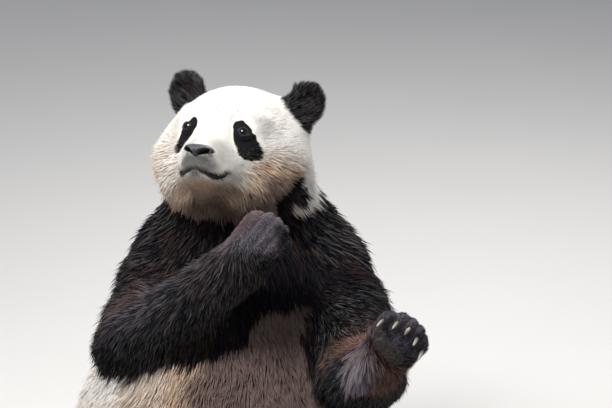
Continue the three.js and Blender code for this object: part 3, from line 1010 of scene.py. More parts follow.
@dataclass
class Markings:
    """Where the coat is black, earth-stained or rusty. Places on the body are in millimetres."""

    head: HeadFrame
    paws: dict[str, PawFrame]
    patches: tuple[EyePatch, ...] = (
        EyePatch(60.5, 10.5, 39.5, 19.0, 28.0),
        EyePatch(-56.0, 9.5, 37.0, 12.0, 28.0),
    )
    chest_foot: float = 530.0  # where the black vest ends above the belly, between the arms
    back_foot: float = 520.0
    nape: float = 704.0  # above this the back of the neck is white
    collar_y: float = 96.0  # in front of this the neck is black up to the jaw
    collar_top: float = 790.0  # how high the black may reach there
    # The wedge behind a cheek, on the head's y and z: its spine from top to foot, and its spur.
    wedge: tuple = ((-22.0, -46.0), (-24.0, -104.0))
    wedge_spur: tuple = ((-16.0, -76.0), (12.0, -62.0))

    def vest(self, points: Array) -> Array:
        """The black band round chest, shoulders and back.

        Args:
            points: places on the skin.

        Returns:
            How far inside it each lies, in millimetres, and less than 0 outside it.
        """
        x, y, z = (points / MM).T
        ragged = Ripple(SEED + 1, 60.0).at(points / MM) * 9
        low = self.chest_foot - 68 * ramp(50, 12, x) - 18 * ramp(-10, -60, x)
        foot = low + ramp(-60, 110, y) * (self.back_foot - low)
        top = np.where(y < self.collar_y, self.collar_top, self.nape)
        behind = y - self.collar_y
        over = np.where(z > self.nape, -behind, np.maximum(top - z, 0))
        return np.minimum(z - foot + ragged, over + ragged * 0.6)

    def patched(self, q: Array) -> Array:
        """How far inside an eye patch each point of the head lies, and less than 0 outside both."""
        return np.maximum(*(patch.cover(q) for patch in self.patches))

    def face(self, points: Array) -> dict[str, Array]:
        """The head's own marks.

        Args:
            points: places on the skin.

        Returns:
            Arrays "dark" for patches, wedges and throat, "grey" for the mouth's surroundings and the
            painted shade on the muzzle's sides, and "stain".
        """
        q = self.head.inside(points)
        front = ramp(-40, -75, q[:, 1])
        patch = self.patched(q) + Ripple(SEED + 2, 15.0).at(q) * 0.07
        dark = [ramp(-0.03, 0.08, patch) * front, self.corner(q), self.throat(q)]
        return {"dark": np.maximum.reduce(dark), "grey": self.greyed(q) * front, "stain": self.stained(q)}

    def throat(self, q: Array) -> Array:
        """Where the neck is black, up to the jaw's lower line.

        Args:
            q: places in the head's millimetres.

        Returns:
            1 on the throat and 0 off it.
        """
        wide, y, z = folded(q).T
        jaw = -118 + 0.24 * np.maximum(wide - 30, 0) + 5 * Ripple(SEED + 10, 30.0).at(q)
        return ramp(6, -6, z - jaw - ramp(14, 34, y) * (-80 - jaw))

    def stained(self, q: Array) -> Array:
        """Where earth has stained cheeks, chin and jowls, with painted shade in the darker brown under
        the jaw.

        Args:
            q: places in the head's millimetres.

        Returns:
            0 on clean hair, 1 on tan hair and more on mud-brown hair, which is partly painted shade.
        """
        x, y, z = q.T
        cloud = Ripple(SEED + 3, 46.0).at(q)
        cheek = ramp(26, -22, z + 8 * cloud) * ramp(60, 100, np.abs(x))
        cheek = cheek * (1 - 0.45 * ramp(-60, -100, x) * ramp(-45, -15, z))
        # Painted light: the chin's right side, which faces the key lamp, is stained less.
        chin = ramp(-50, -80, z + 6 * cloud) * (1 - 0.35 * ramp(-40, -80, x))
        left_jowl = 0.8 * ramp(-16, -50, z) * ramp(45, 80, x)
        right_jowl = 0.7 * ramp(-70, -104, z) * ramp(-110, -50, x)
        tan = np.maximum(cheek * (0.74 + 0.2 * cloud), chin * (0.85 + 0.2 * cloud))
        # The face's lowest part is darkened too: partly earth, partly painted shade under the jaw.
        tan = np.maximum(tan + (left_jowl + right_jowl), 0.4 * ramp(-30, -58, z))
        off_nose = np.linalg.norm(q - (0, -168, -30), axis=1)
        return np.clip(tan * ramp(20, 46, off_nose) * ramp(5, -38, y), 0, 1.7)

    def greyed(self, q: Array) -> Array:
        """How grey the short hair is round mouth and nose, with painted shade on the muzzle's sides.

        Args:
            q: places in the head's millimetres.

        Returns:
            0 on white hair to 1 on black hair.
        """
        wide, _, z = folded(q).T
        chin = np.linalg.norm((q - (0, -165, -46)) / (1.2, 1.0, 0.8), axis=1)
        beside = np.linalg.norm(folded(q) - (32, -150, -14), axis=1)
        lip = Lips().distance(q, Lips().line)
        greys = [
            0.84 * ramp(40, 20, chin) * ramp(-12, -30, z),
            0.96 * ramp(15, 4, lip) * ramp(-2, 4, z + 62 - 0.1 * wide),
            # On the muzzle's sides the grey is partly real and partly painted shade.
            0.42 * ramp(40, 12, beside),
            ramp(6.0, 3.4, lip - 2.4 * bump(34, 22, wide)),
        ]
        return np.maximum.reduce(greys)

    def corner(self, q: Array) -> Array:
        """The black wedge behind each cheek, between the jowl and the white side of the neck.

        Args:
            q: places in the head's millimetres.

        Returns:
            1 on the wedge and 0 off it.
        """
        flat = q[:, 1:]
        top, foot = np.array(self.wedge)
        share = np.clip((flat - top) @ (foot - top) / ((foot - top) @ (foot - top)), 0, 1)
        body = to_segment(flat, top, foot) - 13 - 17 * share
        behind = to_segment(flat, *np.array(self.wedge_spur)) - 15
        return ramp(4, -4, np.minimum(body, behind)) * ramp(92, 110, np.abs(q[:, 0]))

    def trim(self, points: Array, parts: dict[str, Array]) -> Array:
        """Where the coat is shorter: on the eye patches and by the black wedges.

        Args:
            points: places on the skin.
            parts: the parts' weights there.

        Returns:
            The share that is cut off the hair's length.
        """
        q = self.head.inside(points)
        short = 0.6 * ramp(-0.45, -0.1, self.patched(q)) * ramp(-40, -75, q[:, 1])
        wedge = np.maximum(self.corner(q - (0, 0, 14)), self.corner(q + (0, 26, -8)))
        return np.maximum(short, 0.55 * wedge) * parts["head"]

    def paint(self, points: Array, parts: dict[str, Array]) -> dict[str, Array]:
        """The marks at each point of the skin.

        Args:
            points: places on the skin.
            parts: the parts' weights there.

        Returns:
            Arrays for the attributes "dark", "stain", "rust" and "frost".
        """
        core = ("head", "neck", "trunk", "tail")
        limbs = sum(weight for name, weight in parts.items() if name not in core)
        limbs = np.maximum(limbs, self.round_ears(points))
        head = parts["head"]
        body = parts["neck"] + parts["trunk"] + parts["tail"]
        ragged = Ripple(SEED + 4, 0.03).at(points) * 0.12
        p = points / MM
        face = self.face(points)
        vest = ramp(-7, 7, self.vest(points))
        black = limbs + ragged * (1 - head) + vest * body + face["dark"] * head
        dark = np.maximum(ramp(0.36, 0.64, black), head * face["grey"])
        # The belly's middle under the arms goes mud-brown: partly earth, partly painted shade.
        across = p[:, 0] + 18 * Ripple(SEED + 11, 0.05).at(points)
        belly = 0.26 * ramp(-250, -150, across) + 0.74 * ramp(-130, -15, across)
        belly = belly * ramp(110, 60, p[:, 1]) * ramp(230, 330, p[:, 2]) * ramp(270, 190, p[:, 0])
        flank = ramp(560, 120, p[:, 2]) * 0.3 + 0.16 * Ripple(SEED + 5, 0.16).at(points)
        seat = ramp(90, 20, p[:, 2]) * 0.4
        earth = np.clip(0.16 + flank + seat, 0, 0.9) * (1 - 0.6 * belly) + 1.75 * belly
        stain = np.maximum(np.minimum(1, 3 * body) * earth, head * face["stain"])
        rust, frost = self.weathered(points, parts)
        return {"dark": dark, "stain": stain, "rust": rust, "frost": frost}

    def round_ears(self, points: Array) -> Array:
        """The ears and the hair close before them.

        Args:
            points: places on the skin.

        Returns:
            1 on them and 0 off them.
        """
        q = self.head.inside(points)
        ears = self.head.middles("ear_left", "ear_right")
        off = np.min([np.linalg.norm((q - ear) * (1, 0.8, 1), axis=1) for ear in ears], 0)
        return ramp(56, 48, off + 3 * Ripple(SEED + 13, 12.0).at(q))

    def weathered(self, points: Array, parts: dict[str, Array]) -> tuple[Array, Array]:
        """Where black hair has gone rusty, and where its tips are pale, partly a painted highlight on the
        arms' upper ridges and the right fist's top.

        Args:
            points: places on the skin.
            parts: the parts' weights there.

        Returns:
            Two arrays from 0 to 1: rust, and frost with painted sheen.
        """
        cloud = Ripple(SEED + 6, 0.07).at(points)
        rust = 0.05 * np.maximum(cloud, 0)
        frost = 0.12 * np.maximum(Ripple(SEED + 12, 0.05).at(points), 0)
        for side in SIDES:
            wrist = self.paws[f"forepaw_{side}"].origin
            near = np.linalg.norm(points - wrist, axis=1)
            arm = parts[f"forearm_{side}"] + parts[f"forepaw_{side}"]
            reach = wrist - centre_of(f"forearm_{side}")
            above = points - wrist - np.outer((points - wrist) @ reach / (reach @ reach), reach)
            # Painted highlight: the tips pale along each arm's upper ridge.
            ridge = ramp(0.0, 0.05, above[:, 2])
            rust = rust + arm * (WRIST_RUST[side] * ramp(0.088, 0.035, near))
            rust = rust + arm * 0.7 * ramp(0.030, 0.052, above[:, 2])
            frost = frost + arm * ARM_RIDGE_SHEEN[side] * ridge
        locks = self.locks(points, parts)
        # Painted highlight on the top of the right fist.
        over = ramp(-0.030, 0.022, points[:, 2] - centre_of("forepaw_right")[2])
        frost = frost + (0.85 + 0.6 * cloud) * over * parts["forepaw_right"] + 0.95 * locks
        paw = self.paws["forepaw_left"]
        toes, _ = paw.toes(paw.inside(points))
        rust = rust - 0.6 * locks - 0.7 * toes * parts[paw.name]
        frost = frost + 0.3 * toes * parts[paw.name]
        return np.clip(rust, 0, 1), np.clip(frost, 0, 1)

    def locks(self, points: Array, parts: dict[str, Array]) -> Array:
        """How much each point belongs to the long wavy locks under the left wrist."""
        near = np.linalg.norm((points - LOCKS) / (1.0, 1.0, 0.8), axis=1)
        return parts["forearm_left"] * ramp(0.075, 0.03, near)


# ---- The lie of the coat ----


UPPER_ARM_LIE = {"left": (0.85, 0.10, -0.50), "right": (-0.45, -0.25, -0.85)}
FOREARM_PARTING = {"left": (0.085, -0.060, 0.160), "right": (0.118, 0.0, 0.256)}
PAW_SWEEP = {"left": 0.45, "right": 1.8}  # how far the forearm's lie runs on over each forepaw
LEG_DROOP = 0.45  # how much the legs' hair hangs


@dataclass
class LieOfCoat:
    """Which way the hair runs at each point of the skin."""

    head: HeadFrame
    paws: dict[str, PawFrame]

    def on_head(self, points: Array) -> Array:
        """Away from the nose over face and crown, then down behind and over the jowls.

        Args:
            points: places on the skin.

        Returns:
            Unit vectors.
        """
        q = self.head.inside(points)
        way = unit(q - (0, -190, -30))
        sweep = ramp(-20, 110, q[:, 1])[:, None]
        jowl = ramp(20, -60, q[:, 2])[:, None]
        way = self.head.way_outside(way)
        down = np.array((0, 0.15, -1.0)) * (0.9 * sweep + 0.55 * jowl)
        return unit(way * (1 - 0.7 * sweep) + down)

    def on_ear(self, points: Array, side: str) -> Array:
        """From the ear's root out to its rim."""
        root = self.head.middles(f"ear_{side}")[0] * (0.72, 1.0, 0.72)
        return self.head.way_outside(unit(self.head.inside(points) - root))

    def on_limb(self, start: str, end: str, weight: float) -> Array:
        """Along a limb from one node's middle to another's, and down with its weight."""
        along = unit(centre_of(end) - centre_of(start))
        return unit(along * (1 - weight) + np.array((0.0, 0.0, -1.0)) * weight)

    def on_forearm(self, points: Array, side: str) -> Array:
        """Fanning down and out from a parting above the forearm."""
        parting = centre_of(f"forearm_{side}") + FOREARM_PARTING[side]
        return unit(unit(points - parting) + np.array((0.0, -0.1, -0.35)))

    def find(self, points: Array, normals: Array, parts: dict[str, Array], pairs: Array) -> Array:
        """The lie at each point, flat on the skin.

        Args:
            points: places on the skin.
            normals: which way it faces there.
            parts: the parts' weights.
            pairs: the skin's edges.

        Returns:
            Unit vectors along the skin.
        """
        down = np.array((0.0, 0.12, -1.0))
        outward = unit(points * (1, 1, 0) - np.array((0, 0.11, 0)))
        ways = {
            "head": self.on_head(points),
            "neck": unit(down + 0.45 * outward),
            "trunk": unit(down + 0.2 * outward),
            "tail": unit(np.array((0, 0.8, -0.6))),
        }
        for side in SIDES:
            paw, foot = f"forepaw_{side}", f"hind_foot_{side}"
            forearm = self.on_forearm(points, side)
            ways |= {
                f"ear_{side}": self.on_ear(points, side),
                f"upper_arm_{side}": unit(np.array(UPPER_ARM_LIE[side])),
                f"forearm_{side}": forearm,
                f"thigh_{side}": self.on_limb(f"thigh_{side}", foot, LEG_DROOP),
                f"shank_{side}": self.on_limb(f"shank_{side}", foot, LEG_DROOP),
                paw: unit(self.paws[paw].turn[:, 1] + PAW_SWEEP[side] * forearm),
                foot: self.paws[foot].turn[:, 1],
            }
        lie = sum(parts[name][:, None] * way for name, way in ways.items())
        for _ in range(6):
            lie = unit(lie - (lie * normals).sum(1, keepdims=True) * normals)
            lie = evened(lie, pairs, 7)
        return unit(lie - (lie * normals).sum(1, keepdims=True) * normals)


# ---- The skin ----


@dataclass
class Lids:
    """The lids round one eyeball, in the head's millimetres."""

    side: int
    ball: float = 13.0
    thickness: float = 1.7
    half_width: float = 9.2
    half_height: float = 6.8
    look: tuple[float, float, float] = (0.40, -0.89, 0.20)
    tilt: float = 16.0  # degrees that the outer corner hangs
    brim: float = 46.0  # degrees from the pupil at which the lids run out into the face
    pinch: float = 0.42  # how much lower the opening gets towards its corners
    socket: float = 3.2  # how far the skin goes in behind the lids' edge
    clearance: float = 1.4  # between the eyeball and the skin round it

    def axes(self) -> tuple[Array, Array, Array]:
        """The lids' own axes.

        Returns:
            Unit vectors towards the outer corner, up, and out of the pupil.
        """
        look = unit(np.array(self.look) * (self.side, 1, 1))
        up = unit(np.array((0.0, 0.0, 1.0)) - look[2] * look)
        outer = np.cross(look, up)
        outer = outer * math.copysign(1.0, outer[0] * self.side)
        c, s = math.cos(math.radians(self.tilt)), math.sin(math.radians(self.tilt))
        return outer * c - up * s, up * c + outer * s, look

    def opening(self, ways: Array) -> Array:
        """How far from the opening's middle directions lie.

        Args:
            ways: unit vectors from the eyeball's middle.

        Returns:
            0 at the opening's middle, 1 on the lids' edge and more outside it.
        """
        outer, up, look = self.axes()
        reach = self.ball + self.thickness
        across, height = ways @ outer * reach, ways @ up * reach
        ahead = np.where(ways @ look > 0, 1.0, 9.0)
        low = 1 - self.pinch * np.clip(np.abs(across) / self.half_width, 0, 1.2) ** 2
        tall = self.half_height * np.maximum(low, 0.3)
        return ahead * np.sqrt((across / self.half_width) ** 2 + (height / tall) ** 2)

    def shape(self, q: Array, eye: Array) -> tuple[Array, Array, Array]:
        """Wraps the skin round the eyeball and opens it.

        Args:
            q: the skin's points.
            eye: the eyeball's middle.

        Returns:
            The moved points, how bare of hair each is, and how much each may be evened after.
        """
        away = q - eye
        reach = np.linalg.norm(away, axis=1)
        ways = unit(away)
        ahead = ways @ self.axes()[2]
        angle = np.degrees(np.arccos(np.clip(ahead, -1, 1)))
        lid = self.ball + self.thickness
        level = lid * math.cos(math.radians(self.brim))
        target = np.where(angle < self.brim, lid, level / np.maximum(ahead, 0.2))
        near = ramp(86, 74, angle) * ramp(40, 22, target) * ramp(52, 38, reach)
        edge = self.opening(ways)
        target = target - (self.thickness + self.socket) * ramp(1.05, 0.86, edge)
        moved = eye + ways * (reach + (target - reach) * near)[:, None]
        shell = near * ramp(self.brim + 8, self.brim, angle)
        ring = (1 - shell) * ramp(44, 32, np.linalg.norm(moved - eye, axis=1))
        return moved, near * ramp(1.36, 1.14, edge), ring

    def clear(self, q: Array, eye: Array, ring: Array) -> Array:
        """Keeps the evened skin outside the eyeball.

        Args:
            q: the skin's points.
            eye: the eyeball's middle.
            ring: how much each point was evened.

        Returns:
            The moved points.
        """
        away = q - eye
        reach = np.linalg.norm(away, axis=1)
        lift = np.maximum(self.ball + self.clearance - reach, 0) * ramp(0.0, 0.3, ring)
        return q + unit(away) * lift[:, None]


@dataclass
class Lips:
    """The line of the mouth and the groove under the nose, in the head's millimetres."""

    line: tuple = (
        (0, -179, -55),
        (7, -177, -57.5),
        (15, -172, -60.5),
        (27, -164, -64),
        (38, -153, -65),
        (45, -146, -62.5),
        (49, -141, -58),
    )
    groove: tuple = ((0, -184, -38), (0, -180, -52))
    deep: float = 4.2
    groove_deep: float = 1.4
    swell: float = 0.5  # how far the lips stand out beside the line

    def distance(self, q: Array, path: tuple) -> Array:
        """How far points lie from a path and its mirror image.

        Args:
            q: the points.
            path: the places that it joins.

        Returns:
            One distance for each point.
        """
        places, left = np.array(path, float), folded(q)
        return np.min([to_segment(left, *pair) for pair in zip(places[:-1], places[1:])], 0)

    def shape(self, q: Array, normals: Array) -> tuple[Array, Array]:
        """Presses the mouth into the skin.

        Args:
            q: the skin's points.
            normals: which way it faces.

        Returns:
            The moved points, and how bare each is.
        """
        mouth = self.distance(q, self.line)
        groove = self.distance(q, self.groove)
        press = self.deep * ramp(5.4, 1.6, mouth) + self.groove_deep * ramp(4.4, 1.8, groove)
        swell = self.swell * bump(9.0, 5.0, mouth)
        return q + normals * (swell - press)[:, None], ramp(5.0, 3.6, mouth)


@dataclass
class Pads:
    """The bare pads under a paw, as ellipsoids in the paw's millimetres."""

    middle: tuple[float, float, float]
    half: tuple[float, float, float]

    def cover(self, inside: Array) -> Array:
        """1 on the pad and 0 off it."""
        return ramp(1.16, 0.98, np.linalg.norm((inside - self.middle) / self.half, axis=1))


HAND_PADS = (
    Pads((0, 50, -28), (38, 17, 22)),
    Pads((30, 14, -26), (14, 17, 20)),
    Pads((-27, 16, -24), (12, 15, 20)),
)
FOOT_PADS = (
    Pads((0, 100, -30), (40, 22, 24)),
    *(Pads((18.5 * i, 138 - 2.4 * i * i, -22), (9, 11, 16)) for i in range(-2, 3)),
)
SOFTENING = {  # how far each part's facets are evened out, from 0 to 1
    "head": 0.16,
    "neck": 0.7,
    "trunk": 1.0,
    "tail": 0.3,
    "ear": 0.05,
    "upper_arm": 0.6,
    "forearm": 0.5,
    "forepaw": 0.03,
    "thigh": 0.9,
    "shank": 0.6,
    "hind_foot": 0.06,
}


@dataclass
class Skin:
    """One closed skin that stands for all the solids of flesh."""

    frame: dict[str, Any]
    head: HeadFrame
    paws: dict[str, PawFrame]
    voxel: float = 0.0081
    overlap: float = 0.001  # by which the solids are grown before they are fused
    softening: int = 170  # rounds of evening
    steps: int = 4  # in which it is drawn in
    temple: tuple[float, float, float] = (88.0, -88.0, 48.0)  # a hollow that is filled out, on the head
    temple_fill: float = 3.6
    nose_bed: float = 15.0  # how far it is pressed in behind the nose
    ear_cup: float = 7.0
    pad_rise: float = 5.0
    toe_rise: float = 1.0
    cleft: float = 3.4  # how much deeper it is between two toes
    sole: float = 0.004  # how high the underside lies over the ground
    obj: bpy.types.Object = field(init=False)
    points: Array = field(init=False)
    normals: Array = field(init=False)
    pairs: Array = field(init=False)
    parts: dict[str, Array] = field(init=False)
    places: dict[Place, Array] = field(init=False)
    bare: Array = field(init=False)
    trim: Array = field(init=False)  # share cut off the hair's length

    def build(self) -> None:
        """Fuses, softens, draws in and sculpts the skin."""
        body = self.fuse()
        self.refine(body)
        self.obj = body
        outside = points_of(body)
        self.pairs = edges_of(body)
        where = Whereabouts(self.frame, self.head)
        self.parts = where.parts(outside)
        places = where.places(outside, normals_of(body), self.parts)
        self.soften(outside)
        self.draw_in(outside, places)
        self.sculpt()
        self.places = {place: evened(weight, self.pairs, 4) for place, weight in places.items()}
        self.points, self.normals = points_of(body), normals_of(body)
        self.unwrap()

    def fuse(self) -> bpy.types.Object:
        """Joins copies of the solids into one closed mesh, with eyes and nose as filling.

        Returns:
            The mesh object.
        """
        names = [*FLESH, "nose", "eye_left", "eye_right"]
        copies = [copy_of(self.frame["nodes"][name], f"flesh_{name}") for name in names]
        for copy in copies:
            apply_modifier(copy, "DISPLACE", strength=self.overlap, mid_level=0.0)
        body = join(copies, "panda_skin")
        apply_modifier(body, "REMESH", mode="VOXEL", voxel_size=self.voxel, adaptivity=0.0)
        return body

    def refine(self, body: bpy.types.Object) -> None:
        """Subdivides head and paws, then the face, then lids and lips.

        Args:
            body: the fused mesh.
        """
        eyes = np.array([self.head.eye, np.array(self.head.eye) * (-1, 1, 1)])
        ears = self.head.middles("ear_left", "ear_right")
        lips = Lips()

        def nearest(q: Array, places: Array) -> Array:
            """How far points lie from the nearest of some places."""
            return np.min([np.linalg.norm(q - place, axis=1) for place in places], 0)

        def on_head(q: Array) -> Array:
            """Whether points lie on the head and not on the neck."""
            return np.linalg.norm((q - (0, -70, -10)) / (160, 130, 130), axis=1) < 1

        def on_paws(points: Array) -> Array:
            """Whether points lie on the fingers or toes."""
            offs = [np.abs(paw.inside(points) - (0, 70, 0)) for paw in self.paws.values()]
            return np.any([(off < (75, 80, 70)).all(1) for off in offs], 0)

        steps = (
            lambda p, q: on_head(q) | on_paws(p) | (nearest(q, ears) < 56),
            lambda p, q: (q[:, 1] < -66) & (np.abs(q[:, 0]) < 96) & (q[:, 2] > -96) & (q[:, 2] < 78),
            lambda p, q: (nearest(q, eyes) < 27) | (lips.distance(q, lips.line) < 12),
        )
        for chosen in steps:
            middles = face_middles(body)
            edit_faces(body, chosen(middles, self.head.inside(middles)))
            bpy.ops.mesh.subdivide(number_cuts=1, ngon=False)
            leave_edit()

    def soften(self, outside: Array) -> None:
        """Evens out the solids' facets, most on the trunk and least on face and paws.

        Args:
            outside: the fused mesh's points.
        """
        rate = sum(
            weight * SOFTENING[name.removesuffix("_left").removesuffix("_right")]
            for name, weight in self.parts.items()
        )
        q = self.head.inside(outside)
        face = ramp(-60, -100, q[:, 1]) * self.parts["head"]
        rate = evened(rate * (1 - 0.72 * face), self.pairs, 8)
        move_points(self.obj, evened(outside, self.pairs, self.softening, 0.5 * rate))

    def draw_in(self, outside: Array, places: dict[Place, Array]) -> None:
        """Moves the skin under the solids' outside by the coat's depth.

        Args:
            outside: the fused mesh's points.
            places: how much each belongs to each place.
        """
        tree = tree_of(self.obj.data, outside)
        points = points_of(self.obj)
        gap = np.empty(len(points))
        for i, point in enumerate(points):
            place, normal, _, _ = tree.find_nearest(point)
            gap[i] = (place - Vector(point)).dot(normal)
        gap = evened(gap, self.pairs, 40)
        depth = sum(weight * GROWTHS[place].depth for place, weight in places.items()) * MM
        step = (evened(depth, self.pairs, 34) - gap) / self.steps
        for _ in range(self.steps):
            normals = unit(evened(normals_of(self.obj), self.pairs, 3))
            points = points_of(self.obj) - normals * step[:, None]
            move_points(self.obj, points)

    def sculpt(self) -> None:
        """Shapes face, ears and paws, and lays the underside on its level."""
        q = self.head.inside(points_of(self.obj))
        face = self.parts["head"] * ramp(-40, -70, q[:, 1])
        rate = 0.5 * evened(np.clip(face, 0, 1), self.pairs, 3)
        q = evened(q, self.pairs, 4, rate)
        self.bare, self.trim = np.zeros(len(q)), np.zeros(len(q))
        normals = self.head.way_inside(normals_of(self.obj))
        temple = np.linalg.norm(folded(q) - self.temple, axis=1)
        fill = self.temple_fill * ramp(44, 4, temple) * self.parts["head"]
        q, lips = Lips().shape(q + normals * fill[:, None], normals)
        q = self.open_eyes(q)
        nose = Nose(self.head).cover(q) + 9.0 * ramp(-140, -120, q[:, 1])
        q[:, 1] += self.nose_bed * ramp(0.98, 0.72, nose)
        self.bare = np.maximum.reduce([self.bare, lips * face, ramp(1.10, 1.0, nose)])
        for name in ("ear_left", "ear_right"):
            off = np.linalg.norm((q - self.head.middles(name)[0]) * (1, 0, 1), axis=1)
            press = self.ear_cup * self.parts[name] * ramp(0.25, 0.75, -normals[:, 1])
            q[:, 1] += press * ramp(34, 10, off)
        points = self.shape_paws(self.head.outside(q))
        points[:, 2] = np.maximum(points[:, 2], self.sole)
        move_points(self.obj, points)

    def open_eyes(self, q: Array) -> Array:
        """Shapes the lids round both eyeballs.

        Args:
            q: the skin's points in the head's millimetres.

        Returns:
            The moved points.
        """
        for side, name in ((1, "eye_left"), (-1, "eye_right")):
            eye = self.head.middles(name)[0]
            lids = Lids(side)
            q, lid, ring = lids.shape(q, eye)
            q = evened(q, self.pairs, 90, 0.5 * ring)
            q = lids.clear(q, eye, ring)
            self.bare = np.maximum(self.bare, lid)
            short = 0.55 * ramp(30, 17, np.linalg.norm(q - eye, axis=1))
            self.trim = np.maximum(self.trim, short)
        return q

    def shape_paws(self, points: Array) -> Array:
        """Raises pads, fingers and toes.

        Args:
            points: the skin's points.

        Returns:
            The moved points.
        """
        normals = normals_of(self.obj)
        for name, paw in self.paws.items():
            inside = paw.inside(points)
            pads = HAND_PADS if name.startswith("fore") else FOOT_PADS
            under = ramp(0.1, 0.45, -(normals @ paw.turn)[:, 2])
            cover = np.max([pad.cover(inside) for pad in pads], 0) * under * self.parts[name]
            toes, cleft = paw.toes(inside)
            toe = (self.toe_rise - self.cleft * cleft) * toes * self.parts[name]
            swell = cover * self.pad_rise + toe * (1 - cover)
            points = points + normals * (swell * MM)[:, None]
            self.bare = np.maximum(self.bare, cover)
            self.trim = np.maximum(self.trim, 0.5 * toes * self.parts[name])
        return points

    def unwrap(self) -> None:
        """Lays the skin's own shape out flat as its bake map."""
        while self.obj.data.uv_layers:
            self.obj.data.uv_layers.remove(self.obj.data.uv_layers[0])
        self.obj.data.uv_layers.new(name="OFBake")
        edit_all(self.obj)
        bpy.ops.uv.smart_project(angle_limit=math.radians(70), island_margin=0.001)
        leave_edit()

    def finish(self, marks: dict[str, Array], material: bpy.types.Material) -> None:
        """Stores the marks and dresses the skin.

        Args:
            marks: an array for each attribute.
            material: the skin's material.
        """
        for name, values in marks.items():
            store(self.obj, name, values)
        store(self.obj, "bare", self.bare)
        store(self.obj, "tone", Ripple(SEED + 7, 0.02).at(self.points) * 0.5)
        self.obj.data.shade_smooth()
        dress(self.obj, material)
        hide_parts(*FLESH)


# ---- The coat ----


FACE_BACK = -40  # where the face's pieces end behind, in the head's millimetres
TRUNK_MIDDLE = -0.04  # where its left and right pieces meet
BELLY_BACK = 0.11  # where the belly's pieces end behind


@dataclass
class Roots:
    """Where tufts grow from the skin, one row each."""

    points: Array
    normals: Array
    lie: Array
    uv: Array
    parts: dict[str, Array]
    growth: dict[str, Array]
    bare: Array
    trim: Array


@dataclass(frozen=True)
class TuftShape:
    """A closed three-sided tuft: its rings' places along it and their widths. Both ends may be points."""

    rings: tuple[tuple[float, float], ...]
    pointed_root: bool

    def stations(self) -> list[tuple[float, float]]:
        """Each point's or ring's share of the length, and its width, which is 0 for a point."""
        return [*([(0.0, 0.0)] if self.pointed_root else []), *self.rings, (1.0, 0.0)]

    def faces(self) -> Array:
        """The triangles of one tuft, facing outwards.

        Returns:
            Three of the stations' points on each row.
        """
        first = int(self.pointed_root)
        faces = [] if self.pointed_root else [(0, 1, 2)]
        turns = [(i, (i + 1) % 3) for i in range(3)]
        if self.pointed_root:
            faces += [(1 + i, 1 + j, 0) for i, j in turns]
        for ring in range(len(self.rings) - 1):
            low = first + 3 * ring
            for i, j in turns:
                faces += [(low + i, low + 3 + j, low + j), (low + i, low + 3 + i, low + 3 + j)]
        last = first + 3 * (len(self.rings) - 1)
        faces += [(last + j, last + i, last + 3) for i, j in turns]
        return np.array(faces)


TUFT_SHAPES = (
    TuftShape(((0.0, 1.0),), False),  # short and straight
    TuftShape(((0.40, 1.0),), True),  # bent once
    TuftShape(((0.28, 0.95), (0.66, 0.85)), True),  # bent twice
)


